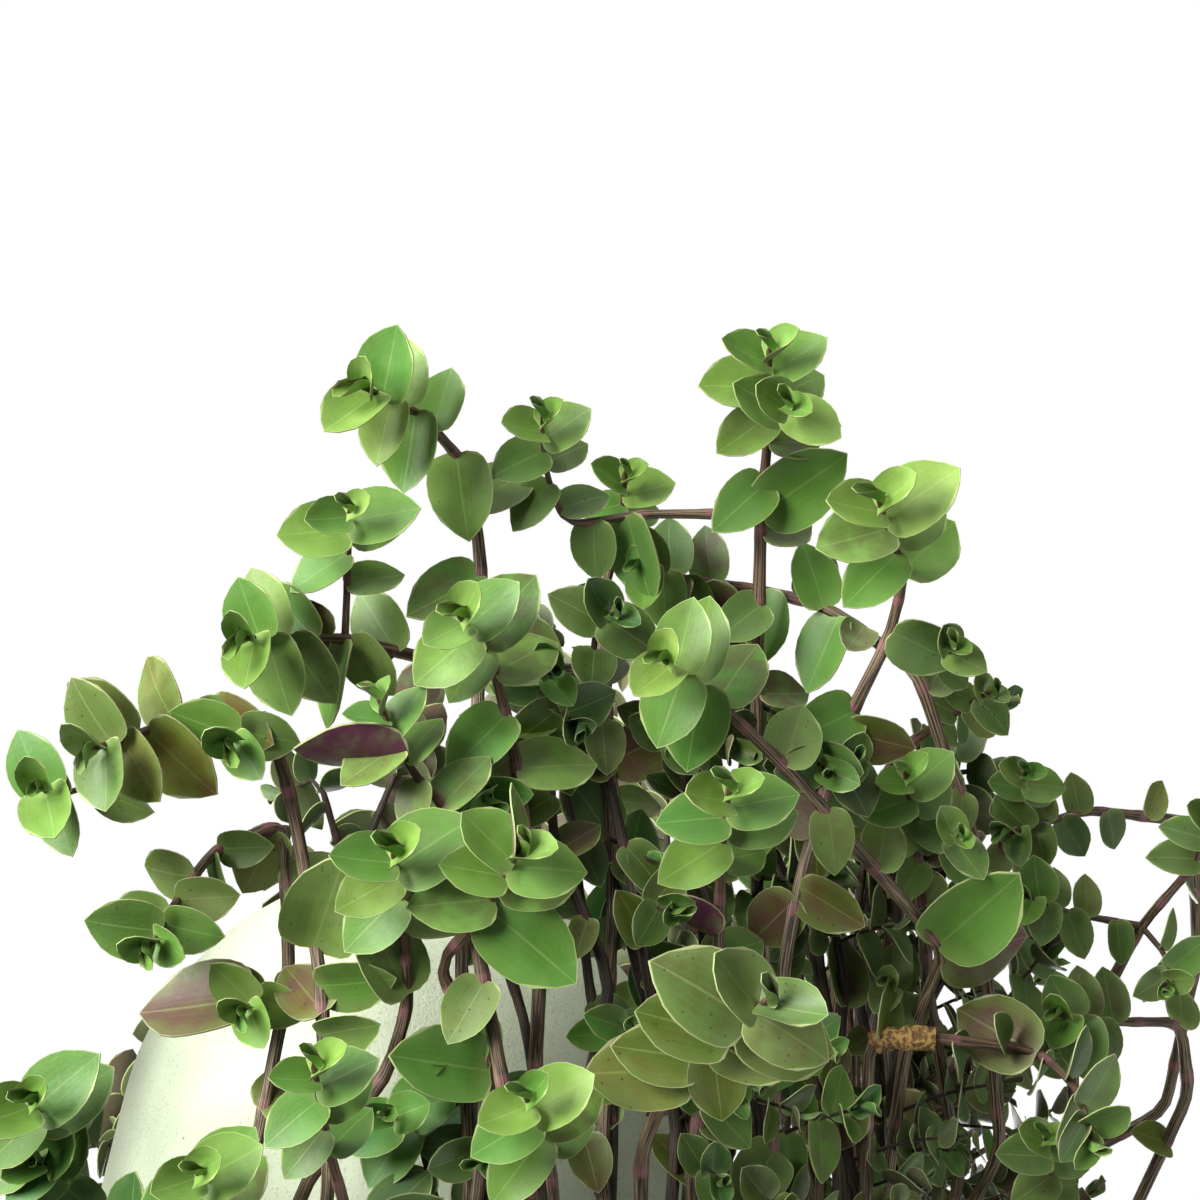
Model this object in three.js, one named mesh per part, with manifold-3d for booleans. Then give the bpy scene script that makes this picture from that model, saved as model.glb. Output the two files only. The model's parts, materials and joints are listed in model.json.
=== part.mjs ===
// Turtle vine in a hanging pot, in millimetres, +Z up.
// The origin is where the hook hangs: the top of the hook's throat, on the pot's axis. +X is to the
// right of a viewer who looks along +Y, so the front of the plant is towards -Y.

import * as THREE from "three";
import { mergeVertices } from "three/addons/utils/BufferGeometryUtils.js";
import Module from "manifold-3d";

const wasm = await Module();
wasm.setup();

// Driving dimensions of the pot. Its heights are measured from the lowest point of its round bottom.
const FOOT_Z = -400;
const POT_HEIGHT = 150;
const BOTTOM_RADIUS = 71;
const WALL_LEAN = THREE.MathUtils.degToRad(14);
const WALL = 2.5;
const FOOT_RADIUS = 26;
const LIP_RADIUS = 101;
const LIP_DEPTH = 4;
const POT_SIDES = 30;
const DRAIN_HOLES = 4;
const DRAIN_CIRCLE = 15;
const DRAIN_RADIUS = 4;

// The soil lies inside the pot, clear of its wall, with its surface under the rim.
const GAP = 0.3;
const SOIL_LEVEL = 136;
const SOIL_CROWN = 4;
const ROOT_DEPTH = 22;
const ROOT_PLAY = 0.45;

// The hanger: an open hook on a round plate, and three wires down to the rim.
const HOOK_WIRE = 2;
const HOOK_BEND = 13;
const HOOK_SHANK = 4;
const HOOK_FROM = -58;
const HOOK_TO = 212;
const HOOK_STEP = 22.5;
const PLATE_RADIUS = 15;
const PLATE_THICKNESS = 3;
const PLATE_TOP = -36;
const WIRE_COUNT = 3;
const WIRE_RADIUS = 1.1;
const WIRE_CIRCLE_TOP = 10.5;
const WIRE_CIRCLE_RIM = 96.6;
const WIRE_HOLE_PLAY = 0.9;
const PLATE_HOLE_PLAY = 0.6;
const WIRE_BEAD = 3;
const BEAD_SEAT = 2.4;
const FIRST_WIRE_AZIMUTH = 50;

// Stems and leaves.
const STEM_SIDES = 4;
const MAIN_STEM = 1.5;
const SIDE_STEM = 1.1;
const LEAF_THICKNESS = 1.4;
const LEAF_CLEARANCE = 0.35;
const OUTER_ROOTS = 78;
const INNER_ROOTS = 69;
const LEFT_ROOTS = 60;
const LEFT_FROM = 230;
const TIP_FORWARD = 6;

// The leaves stand close together at a tip and wider apart behind it, in two ranks.
const LEAF_SCALE = 0.86;
const SHOOT_LEAF = 0.85;
const FIRST_LEAF_BACK = 1.5;
const FIRST_LEAF_GAP = 2.3;
const LEAF_GAP_STEP = 0.15;
const LEAF_GAP_CURVE = 0.017;
const MOST_LEAF_GAP = 26;
const RANK_TURN = 186;
const RANK_SWAY = 12;
const TIP_SIZE = 0.5;
const SIZE_STEP = 0.17;
const SIZE_SWAY = 0.16;

// A leaf leans along its stem at the tip and away from it further back, in degrees, and turns its
// face outwards to the light. The light comes from outside a line that lies behind the pot's axis.
const TIP_LEAN = 62;
const LEAN_STEP = 13;
const LEAST_LEAN = -12;
const LEAN_SWAY = 8;
const TIP_LIGHT = 0.12;
const LIGHT_STEP = 0.06;
const MOST_LIGHT = 0.6;
const LIGHT_SHIFT = 60;

// Which of a stem's leaves are made, counted back from its tip. The least are left out.
const FRONT_LEAVES = [1, 2, 3, 6, 9];
const REST_LEAVES = [1, 3, 6, 10];
const TUFT_LEAVES = [1, 3];
const SHOOT_LEAVES = [1, 3];

// Where the front of the plant is looked at from. A point of a front stem is [x, z, forward]: x and z
// are read on the upright plane through the pot's axis, z from the pot's lowest point, and forward
// brings the point along its line of sight towards the viewer.
const VIEW_DISTANCE = 650;
const VIEW_X = -48.75;
const VIEW_Z = -67.5;

// The front stems, from the rim down. Azimuth is where a stem crosses the rim, in degrees from the
// front, positive to the right. Shoots are side stems that leave the trail at the point given first.
const FRONT_STEMS = [
  {
    azimuth: -64,
    leaf: 18,
    trail: [[-88, 78, 58], [-88, 15, 55], [-88, -47, 58], [-89, -89, 66], [-91, -111, 72], [-91, -131, 84]],
    shoots: [
      [[-89, -89, 66], [-59, -89, 72], [-40, -86, 78], [-35, -100, 84], [-34, -114, 92]],
      [[-91, -111, 72], [-95, -113, 80], [-96, -117, 90]],
    ],
  },
  {
    azimuth: -11,
    leaf: 20,
    trail: [
      [-16, 70, 112], [-14, 23, 104], [-18, -32, 92], [-19, -77, 84],
      [-16, -100, 88], [-4, -114, 100], [11, -121, 114],
    ],
    shoots: [],
  },
  {
    azimuth: -53,
    leaf: 14,
    trail: [[-59, 32, 62], [-51, -27, 40], [-49, -67, 40], [-54, -85, 44], [-55, -100, 54]],
    shoots: [],
  },
  {
    azimuth: -59,
    leaf: 21.5,
    trail: [
      [-91, 78, 84], [-95, 22, 78], [-99, 2, 76], [-109, -34, 74],
      [-121, -58, 80], [-125, -74, 90], [-118, -93, 108],
    ],
    shoots: [],
  },
  {
    azimuth: -103,
    leaf: 12,
    trail: [
      [-124, 70, 10], [-119, 8, 14], [-116, -17, 20],
      [-125, -31, 30], [-137, -39, 44], [-147, -45, 58],
    ],
    shoots: [],
  },
  {
    azimuth: -109,
    leaf: 13,
    trail: [[-139, 57, 0], [-145, 15, 4], [-149, -5, 14], [-154, -17, 24], [-155, -25, 36]],
    shoots: [],
  },
  {
    azimuth: -127,
    leaf: 14,
    trail: [[-190, 60, -36], [-198, 22, -20], [-197, -12, 0], [-171, -15, 14], [-150, -9, 30]],
    shoots: [],
  },
  {
    azimuth: -120,
    leaf: 15,
    trail: [[-167, 82, -10], [-167, 46, 10], [-184, 14, 20], [-198, -2, 32], [-201, -14, 44]],
    shoots: [
      [[-184, 14, 20], [-167, 11, 30], [-154, 6, 42]],
      [[-184, 14, 20], [-191, 22, 27], [-190, 30, 38]],
    ],
  },
  {
    azimuth: -83,
    leaf: 19,
    trail: [[-120, 82, 40], [-125, 45, 48], [-135, 20, 62], [-97, -24, 94], [-75, -45, 104], [-64, -53, 119]],
    shoots: [],
  },
  {
    azimuth: -88,
    leaf: 15,
    trail: [
      [-149, 70, 40], [-143, -5, 52], [-128, -50, 62], [-105, -66, 56],
      [-89, -70, 50], [-69, -73, 56], [-58, -76, 68],
    ],
    shoots: [
      [[-128, -50, 62], [-134, -52, 70], [-137, -57, 80]],
    ],
  },
  {
    azimuth: -35,
    leaf: 19,
    trail: [
      [-49, 78, 104], [-52, 8, 80], [-50, -38, 70], [-46, -50, 76],
      [-16, -50, 76], [15, -58, 94], [29, -58, 104], [41, -58, 118],
    ],
    shoots: [
      [[15, -58, 94], [14, -82, 98], [14, -91, 110]],
    ],
  },
  {
    azimuth: 8,
    leaf: 19,
    trail: [
      [19, 78, 118], [21, 28, 112], [26, -5, 101], [29, -20, 99],
      [35, -39, 101], [48, -41, 106], [64, -35, 114], [79, -30, 128],
    ],
    shoots: [
      [[64, -35, 114], [77, -22, 110], [87, -18, 112], [92, -21, 120]],
      [[35, -39, 101], [41, -36, 109], [44, -31, 118]],
    ],
  },
  {
    azimuth: -17,
    leaf: 16,
    trail: [[-29, 78, 122], [-16, 8, 116], [-11, -15, 112], [-1, -25, 113], [7, -43, 114]],
    shoots: [],
  },
  {
    azimuth: 32,
    leaf: 17,
    trail: [[39, 78, 104], [29, 28, 96], [30, -12, 86], [48, -5, 96], [58, 9, 106], [64, 20, 118]],
    shoots: [
      [[29, 28, 96], [36, 30, 104], [41, 36, 114]],
    ],
  },
  {
    azimuth: 15,
    leaf: 20,
    trail: [[26, 80, 111], [4, 50, 110], [-1, 33, 112], [1, 8, 120], [3, -5, 134]],
    shoots: [],
  },
  {
    azimuth: -4,
    leaf: 19,
    trail: [[-18, 82, 119], [-21, 48, 113], [-8, 24, 116], [-21, 9, 126], [-29, -6, 138]],
    shoots: [],
  },
  {
    azimuth: -29,
    leaf: 19,
    trail: [[-39, 100, 112], [-36, 70, 124], [-30, 56, 142]],
    shoots: [],
  },
  {
    azimuth: 2,
    leaf: 17,
    trail: [[12, 95, 125], [19, 70, 134], [23, 48, 147]],
    shoots: [],
  },
  {
    azimuth: -41,
    leaf: 24,
    trail: [[-59, 95, 108], [-59, 70, 116], [-66, 54, 122], [-77, 44, 131], [-91, 32, 148]],
    shoots: [],
  },
  {
    azimuth: -47,
    leaf: 17,
    trail: [[-71, 78, 96], [-78, 32, 93], [-79, -3, 99], [-81, -21, 115]],
    shoots: [],
  },
  {
    azimuth: -93,
    leaf: 15,
    trail: [[-139, 78, 20], [-131, 32, 34], [-128, -5, 56], [-125, -25, 77]],
    shoots: [
      [[-131, 32, 34], [-124, 32, 44], [-120, 28, 55]],
      [[-128, -5, 56], [-135, -6, 64], [-139, -9, 74]],
    ],
  },
  {
    azimuth: -23,
    leaf: 19,
    trail: [[-31, 78, 108], [-34, 22, 103], [-27, -32, 99], [-21, -55, 104], [-13, -64, 119]],
    shoots: [],
  },
  {
    azimuth: -114,
    leaf: 15,
    trail: [[-180, 90, -4], [-196, 56, 16], [-194, 38, 22], [-174, 38, 36], [-163, 36, 50]],
    shoots: [],
  },
  {
    azimuth: -98,
    leaf: 15,
    trail: [[-150, 110, 20], [-162, 78, 44], [-160, 66, 58]],
    shoots: [],
  },
  {
    azimuth: 43,
    leaf: 20,
    trail: [[84, 84, 84], [91, 65, 100], [94, 57, 112]],
    shoots: [],
  },
  {
    azimuth: 23,
    leaf: 18,
    trail: [[47, 95, 106], [50, 81, 118], [52, 75, 130]],
    shoots: [],
  },
  {
    azimuth: -77,
    leaf: 16,
    trail: [[-115, 82, 60], [-116, 42, 62], [-132, 42, 66], [-158, 45, 64], [-168, 54, 68], [-172, 68, 78]],
    shoots: [],
  },
];

// The stems that the front view doesn't show hang from the rest of the rim by a rule, as [azimuth,
// key of its draws], and a few upright tufts stand in the middle of the pot.
const REST_STEMS = [
  [57, 100], [68, 101], [79, 102], [90, 103], [101, 104], [112, 105], [123, 106], [134, 107], [145, 108],
  [155, 109], [164, 110], [176, 111], [186, 112], [196, 113], [206, 114], [216, 115], [226, 116],
  [236.5, 117], [243, 877], [248.5, 142], [254, 833], [264.5, 420], [269.5, 122],
];
const REST_LEAF = 18;
const REST_LEAF_PLAY = 4;
const TUFT_COUNT = 4;
const TUFT_ORDER = 200;
const TUFT_LEAF = 20;
const FIRST_TUFT_AZIMUTH = 20;

// The way of a trailing stem over the rim, and how one hangs by rule.
const RISE_OUT = 14;
const RIM_PASS_RADIUS = 109;
const RIM_PASS_RISE = 11;
const RIM_PASS_DROP = 14;
const TRAIL_TOP = 100;
const TRAIL_STEP = 36;
const TRAIL_SWAY = 4;
const TRAIL_LEAN = 5;
const TIP_PLAY = 55;
const TIP_CEILING = 140;
const TIP_CURL = 20;

// How far out the stems hang from an azimuth on, with the play of it and their tuck under the pot.
const HANGS = [
  { from: 0, least: 130, play: 18, tuck: 2 },
  { from: 150, least: 130, play: 18, tuck: 14 },
  { from: LEFT_FROM, least: 112, play: 6, tuck: 0 },
];

// How low a tip may hang at an azimuth, as [azimuth, height].
const LOWEST_TIPS = [
  [57, -60], [90, -60], [108, 100], [130, 112], [140, 78], [150, 40], [160, -10],
  [170, -37], [180, -58], [205, -55], [215, -40], [225, -15], [250, -5], [270, -25],
];

// A number from 0 to 1 that is fixed by its whole-number keys.
function draw(...keys) {
  let mixed = 0x811c9dc5;
  for (const key of keys) {
    mixed = Math.imul(mixed ^ key, 0x01000193);
    mixed ^= mixed >>> 13;
  }
  mixed = Math.imul(mixed, 0x85ebca6b);
  mixed ^= mixed >>> 16;
  mixed = Math.imul(mixed, 0xc2b2ae35);
  mixed ^= mixed >>> 13;
  return (mixed >>> 0) / 4294967296;
}

// A draw from -1 to 1.
function sway(...keys) {
  return 2 * draw(...keys) - 1;
}

// A point at a radius and azimuth round the pot's axis, z from the pot's lowest point.
function polar(radius, azimuth, z) {
  const angle = THREE.MathUtils.degToRad(azimuth);
  return new THREE.Vector3(radius * Math.sin(angle), -radius * Math.cos(angle), FOOT_Z + z);
}

function onSightLine([x, z, forward]) {
  const share = 1 - forward / VIEW_DISTANCE;
  return new THREE.Vector3(
    VIEW_X + (x - VIEW_X) * share,
    -forward,
    FOOT_Z + VIEW_Z + (z - VIEW_Z) * share,
  );
}

// The points of a front stem, with its tip turned a little further towards the viewer.
function turnedForward(trail) {
  const points = trail.slice(0, -1);
  const [x, z, forward] = trail[trail.length - 1];
  return [...points, [x, z, forward + TIP_FORWARD]].map(onSightLine);
}

// A closed geometry as a solid, turned right side out if its faces point inwards.
function toSolid(geometry) {
  geometry.deleteAttribute("normal");
  geometry.deleteAttribute("uv");
  const merged = mergeVertices(geometry, 1e-4);
  const index = Array.from(merged.index.array);
  const corners = [];
  for (let at = 0; at < index.length; at += 3) {
    const [a, b, c] = index.slice(at, at + 3);
    if (a !== b && b !== c && c !== a) {
      corners.push(a, b, c);
    }
  }
  const vertProperties = Float32Array.from(merged.attributes.position.array);
  const triVerts = Uint32Array.from(corners);
  const solid = new wasm.Manifold(new wasm.Mesh({ numProp: 3, vertProperties, triVerts }));
  if (solid.volume() > 0) {
    return solid;
  }
  const turned = [];
  for (let at = 0; at < corners.length; at += 3) {
    turned.push(corners[at], corners[at + 2], corners[at + 1]);
  }
  return new wasm.Manifold(new wasm.Mesh({ numProp: 3, vertProperties, triVerts: Uint32Array.from(turned) }));
}

function toGeometry(solid) {
  const mesh = solid.getMesh();
  const geometry = new THREE.BufferGeometry();
  geometry.setAttribute("position", new THREE.BufferAttribute(Float32Array.from(mesh.vertProperties), 3));
  geometry.setIndex(new THREE.BufferAttribute(Uint32Array.from(mesh.triVerts), 1));
  return geometry;
}

// An upright cylinder between two heights, given from the origin.
function post(x, y, low, high, radius, sides) {
  const geometry = new THREE.CylinderGeometry(radius, radius, high - low, sides);
  geometry.rotateX(Math.PI / 2);
  geometry.translate(x, y, (low + high) / 2);
  return toSolid(geometry);
}

function bead(x, y, z, radius) {
  const geometry = new THREE.SphereGeometry(radius, 6, 4);
  geometry.translate(x, y, z);
  return toSolid(geometry);
}

// A path through given points, with a step at each point and none between.
class StemPath extends THREE.Curve {
  constructor(points) {
    super();
    this.points = points;
  }

  getPointAt(share) {
    const last = this.points.length - 1;
    return this.points[Math.round(share * last)].clone();
  }

  getTangentAt(share) {
    const last = this.points.length - 1;
    const here = Math.round(share * last);
    const before = this.points[Math.max(here - 1, 0)];
    const after = this.points[Math.min(here + 1, last)];
    return after.clone().sub(before).normalize();
  }
}

function tube(points, radius, sides) {
  const section = new THREE.Shape();
  for (let side = 0; side < sides; side += 1) {
    const angle = (2 * Math.PI * side) / sides;
    const corner = [radius * Math.cos(angle), radius * Math.sin(angle)];
    if (side === 0) {
      section.moveTo(...corner);
    } else {
      section.lineTo(...corner);
    }
  }
  section.closePath();
  const path = new StemPath(points);
  const options = { steps: points.length - 1, extrudePath: path, bevelEnabled: false };
  return toSolid(new THREE.ExtrudeGeometry(section, options));
}

// The outer profile of the pot's body up to its lip, moved inwards by inset, as [radius, z].
function bowlProfile(inset, arcSteps) {
  const radius = BOTTOM_RADIUS - inset;
  const footAngle = Math.asin((FOOT_RADIUS - inset) / radius);
  const wallAngle = Math.PI / 2 - WALL_LEAN;
  const profile = [];
  for (let step = 0; step <= arcSteps; step += 1) {
    const angle = footAngle + ((wallAngle - footAngle) * step) / arcSteps;
    profile.push([radius * Math.sin(angle), BOTTOM_RADIUS - radius * Math.cos(angle)]);
  }
  return profile;
}

// The radius of the straight wall at a height, moved inwards by inset.
function wallRadius(z, inset) {
  const touch = BOTTOM_RADIUS - BOTTOM_RADIUS * Math.sin(WALL_LEAN);
  const outer = BOTTOM_RADIUS * Math.cos(WALL_LEAN) + (z - touch) * Math.tan(WALL_LEAN);
  return outer - inset / Math.cos(WALL_LEAN);
}

function turned(profile) {
  const points = profile.map(([radius, z]) => new THREE.Vector2(radius, z));
  const geometry = new THREE.LatheGeometry(points, POT_SIDES);
  geometry.rotateX(Math.PI / 2);
  geometry.translate(0, 0, FOOT_Z);
  return toSolid(geometry);
}

function pot() {
  const outside = bowlProfile(0, 4);
  const inside = bowlProfile(WALL, 3).reverse();
  const lipUnder = POT_HEIGHT - LIP_DEPTH;
  const profile = [
    [0, outside[0][1]],
    ...outside,
    [wallRadius(lipUnder, 0), lipUnder],
    [LIP_RADIUS, lipUnder],
    [LIP_RADIUS, POT_HEIGHT],
    [wallRadius(POT_HEIGHT, WALL), POT_HEIGHT],
    ...inside,
    [0, inside[inside.length - 1][1]],
  ];
  let body = turned(profile);
  for (let hole = 0; hole < DRAIN_HOLES; hole += 1) {
    const { x, y } = polar(DRAIN_CIRCLE, (360 * (hole + 0.5)) / DRAIN_HOLES, 0);
    body = body.subtract(post(x, y, FOOT_Z - 1, FOOT_Z + 4 * WALL, DRAIN_RADIUS, 10));
  }
  for (let wire = 0; wire < WIRE_COUNT; wire += 1) {
    const { x, y } = polar(WIRE_CIRCLE_RIM, wireAzimuth(wire), 0);
    const low = FOOT_Z + lipUnder - 1;
    body = body.subtract(post(x, y, low, FOOT_Z + POT_HEIGHT + 1, WIRE_RADIUS + WIRE_HOLE_PLAY, 8));
  }
  return body;
}

function soil() {
  const side = bowlProfile(WALL + GAP, 3);
  const profile = [
    [0, side[0][1]],
    ...side,
    [wallRadius(SOIL_LEVEL, WALL + GAP), SOIL_LEVEL],
    [wallRadius(SOIL_LEVEL, WALL + GAP) * 0.6, SOIL_LEVEL + 0.8 * SOIL_CROWN],
    [0, SOIL_LEVEL + SOIL_CROWN],
  ];
  return turned(profile);
}

function wireAzimuth(wire) {
  return FIRST_WIRE_AZIMUTH + (360 * wire) / WIRE_COUNT;
}

function hangerHook() {
  const bend = [];
  const centre = -HOOK_BEND + HOOK_WIRE;
  const shank = centre - HOOK_BEND - HOOK_SHANK;
  bend.push(new THREE.Vector3(0, 0, PLATE_TOP - PLATE_THICKNESS));
  bend.push(new THREE.Vector3(0, 0, shank));
  for (let degrees = HOOK_FROM; degrees <= HOOK_TO; degrees += HOOK_STEP) {
    const angle = THREE.MathUtils.degToRad(degrees);
    bend.push(new THREE.Vector3(HOOK_BEND * Math.cos(angle), 0, centre + HOOK_BEND * Math.sin(angle)));
  }
  let hook = post(0, 0, PLATE_TOP - PLATE_THICKNESS, PLATE_TOP, PLATE_RADIUS, 18);
  hook = hook.add(tube(bend, HOOK_WIRE, 6));
  for (let wire = 0; wire < WIRE_COUNT; wire += 1) {
    const { x, y } = polar(WIRE_CIRCLE_TOP, wireAzimuth(wire), 0);
    const low = PLATE_TOP - PLATE_THICKNESS - 1;
    hook = hook.subtract(post(x, y, low, PLATE_TOP + 1, WIRE_RADIUS + PLATE_HOLE_PLAY, 8));
  }
  return hook;
}

// One wire: its ball lies on the plate, and its stop bead holds the rim from below.
function hangerWire(wire) {
  const azimuth = wireAzimuth(wire);
  const rim = FOOT_Z + POT_HEIGHT;
  const topBead = PLATE_TOP + GAP + BEAD_SEAT;
  const lowBead = rim - LIP_DEPTH - GAP - BEAD_SEAT;
  const top = polar(WIRE_CIRCLE_TOP, azimuth, 0);
  const foot = polar(WIRE_CIRCLE_RIM, azimuth, 0);
  const points = [
    top.clone().setZ(topBead),
    top.clone().setZ(PLATE_TOP - PLATE_THICKNESS - 4),
    foot.clone().setZ(rim + 10),
    foot.clone().setZ(lowBead),
  ];
  let solid = tube(points, WIRE_RADIUS, 6);
  solid = solid.add(bead(top.x, top.y, topBead, WIRE_BEAD));
  return solid.add(bead(foot.x, foot.y, lowBead, WIRE_BEAD));
}

// The start of a trailing stem: straight up out of the soil, over the rim and down past it.
function overRim(azimuth, order) {
  const ring = order % 2 === 0 ? OUTER_ROOTS : INNER_ROOTS;
  const root = azimuth > LEFT_FROM ? LEFT_ROOTS : ring;
  return [
    polar(root, azimuth, SOIL_LEVEL - ROOT_DEPTH),
    polar(root, azimuth, SOIL_LEVEL + 6),
    polar(root + RISE_OUT, azimuth, POT_HEIGHT + RIM_PASS_RISE),
    polar(RIM_PASS_RADIUS, azimuth, POT_HEIGHT + RIM_PASS_RISE - 5),
    polar(RIM_PASS_RADIUS + 5, azimuth, POT_HEIGHT - RIM_PASS_DROP),
  ];
}

function lowestTip(azimuth) {
  const next = LOWEST_TIPS.findIndex(([turn]) => turn >= azimuth);
  if (next < 1) {
    return LOWEST_TIPS[0][1];
  }
  const [[from, low], [to, high]] = [LOWEST_TIPS[next - 1], LOWEST_TIPS[next]];
  return low + ((high - low) * (azimuth - from)) / (to - from);
}

// A hanging stem by rule: down past the pot with a little sway, its tip curling outwards.
function hangingTrail(azimuth, order) {
  const low = lowestTip(azimuth);
  const tip = low + Math.min(TIP_PLAY, TIP_CEILING - low) * draw(order, 0, 1);
  const { least, play, tuck } = HANGS.findLast(({ from }) => azimuth >= from);
  const reach = least + play * draw(order, 0, 2);
  const steps = Math.max(Math.round((TRAIL_TOP - tip) / TRAIL_STEP), 0);
  const trail = [];
  for (let step = 0; step < steps; step += 1) {
    const share = step / steps;
    const turn = azimuth + TRAIL_SWAY * sway(order, 0, 10 + step);
    const out = reach + TRAIL_SWAY * sway(order, 0, 30 + step) - tuck * share * share;
    trail.push(polar(out, turn, TRAIL_TOP + (tip - TRAIL_TOP) * share));
  }
  const lean = azimuth + TRAIL_LEAN * sway(order, 0, 3);
  trail.push(polar(reach + 4, (azimuth + lean) / 2, tip));
  trail.push(polar(reach + 4 + TIP_CURL, lean, tip - 4 + 10 * draw(order, 0, 4)));
  return trail;
}

// A side shoot of a hanging stem by rule: from a point of it outwards and down to one side.
const SPRAY_REACH = 152;
const SPRAY_REACH_PLAY = 22;
const SPRAY_DROP = 16;
const SPRAY_DROP_PLAY = 44;
const SPRAY_TURN = 5;
const SPRAY_TURN_PLAY = 9;

function spray(azimuth, order, side, start) {
  const turn = side * (SPRAY_TURN + SPRAY_TURN_PLAY * draw(order, side + 2, 50));
  const reach = SPRAY_REACH + SPRAY_REACH_PLAY * draw(order, side + 2, 51);
  const drop = SPRAY_DROP + SPRAY_DROP_PLAY * draw(order, side + 2, 52);
  const out = Math.hypot(start.x, start.y);
  const z = start.z - FOOT_Z;
  return [
    start.clone(),
    polar((out + reach) / 2, azimuth + 0.6 * turn, z - 0.3 * drop),
    polar(reach, azimuth + turn, z - drop),
  ];
}

// An upright tuft by rule: a stem with two shoots that fan out over the soil.
const TUFT_CIRCLE = 44;
const MIDDLE_TUFT = 6;
const TUFT_FORK = 14;
const TUFT_RISE = 34;
const TUFT_PLAY = 16;
const TUFT_FAN = 34;

function tuft(azimuth, order) {
  const radius = order === 0 ? MIDDLE_TUFT : TUFT_CIRCLE;
  const stem = [
    polar(radius, azimuth, SOIL_LEVEL - ROOT_DEPTH),
    polar(radius, azimuth, SOIL_LEVEL + 8),
    polar(radius + 4, azimuth + 8, POT_HEIGHT + TUFT_FORK),
    polar(radius + 8, azimuth, POT_HEIGHT + TUFT_RISE + TUFT_PLAY * draw(order, 60)),
  ];
  const shoots = [-1, 1].map((side) => {
    const rise = TUFT_FORK + 14 + 8 * draw(order, side + 2, 61);
    return [
      stem[2].clone(),
      polar(radius + 14, azimuth + 0.76 * side * TUFT_FAN, POT_HEIGHT + TUFT_FORK + 6),
      polar(radius + 24, azimuth + side * TUFT_FAN, POT_HEIGHT + rise),
    ];
  });
  return { stem, shoots };
}

// The point on a route at a distance back from its tip, with the direction of growth there.
function placeOn(points, back) {
  let left = back;
  for (let at = points.length - 1; at > 0; at -= 1) {
    const step = points[at].distanceTo(points[at - 1]);
    if (left <= step) {
      const spot = points[at].clone().lerp(points[at - 1], left / step);
      return { spot, growth: points[at].clone().sub(points[at - 1]).normalize() };
    }
    left -= step;
  }
  return null;
}

// The side to which a front tip's first leaf points: across the tip as the viewer sees it.
function pictureClock(trail) {
  const [fromX, fromZ] = trail[Math.max(trail.length - 3, 0)];
  const [toX, toZ] = trail[trail.length - 1];
  const angle = Math.atan2(toZ - fromZ, toX - fromX) + Math.PI / 2;
  return new THREE.Vector3(Math.cos(angle), 0, Math.sin(angle));
}

// The same side for a stem at an azimuth that is not seen from the front, by a draw.
function turnedClock(azimuth, key) {
  const angle = THREE.MathUtils.degToRad(azimuth);
  const clock = 2 * Math.PI * draw(key, 70);
  const level = new THREE.Vector3(Math.cos(angle), Math.sin(angle), 0);
  return level.multiplyScalar(Math.cos(clock)).add(new THREE.Vector3(0, 0, Math.sin(clock)));
}

// The places of a shoot's leaves, from its tip back. The leaves alternate from side to side in two
// ranks that turn slowly round the stem. Each faces along the stem at the tip, and turns outwards
// to the light further back.
function leafPlaces(points, plan) {
  const places = [];
  let back = FIRST_LEAF_BACK;
  for (let leaf = 0; leaf <= Math.max(...plan.leaves); leaf += 1) {
    const found = placeOn(points, back);
    back += Math.min(FIRST_LEAF_GAP + LEAF_GAP_STEP * leaf + LEAF_GAP_CURVE * leaf ** 3, MOST_LEAF_GAP);
    if (found === null || !plan.leaves.includes(leaf)) {
      continue;
    }
    const { spot, growth } = found;
    const turn = RANK_TURN * leaf + RANK_SWAY * sway(plan.key, leaf, 71);
    const lean = Math.max(TIP_LEAN - LEAN_STEP * leaf, LEAST_LEAN) + LEAN_SWAY * sway(plan.key, leaf, 72);
    const along = Math.sin(THREE.MathUtils.degToRad(lean));
    const aside = Math.cos(THREE.MathUtils.degToRad(lean));
    const light = Math.min(TIP_LIGHT + LIGHT_STEP * leaf, MOST_LIGHT);
    const outward = new THREE.Vector3(spot.x, spot.y - LIGHT_SHIFT, 0).normalize();
    const across = plan.toward.clone().addScaledVector(growth, -plan.toward.dot(growth)).normalize();
    across.applyAxisAngle(growth, THREE.MathUtils.degToRad(turn));
    const reach = across.clone().multiplyScalar(aside).addScaledVector(growth, along);
    const face = growth.clone().multiplyScalar(aside).addScaledVector(across, -along);
    face.multiplyScalar(1 - light).addScaledVector(outward, light).normalize();
    reach.addScaledVector(face, -reach.dot(face)).normalize();
    const grown = Math.min(TIP_SIZE + SIZE_STEP * leaf, 1) * (1 + SIZE_SWAY * sway(plan.key, leaf, 73));
    places.push({ base: spot, reach, face, size: LEAF_SCALE * plan.leaf * grown });
  }
  return places;
}

// Half of a leaf's outline from its root to its pointed tip, as shares of the leaf's length.
const LEAF_OUTLINE = [[-0.04, 0], [0.12, 0.03], [0.13, 0.39], [0.6, 0.43], [1, 0]];
const LEAF_MIDDLE = 0.36;
const LEAF_CUP = 0.11;

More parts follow.
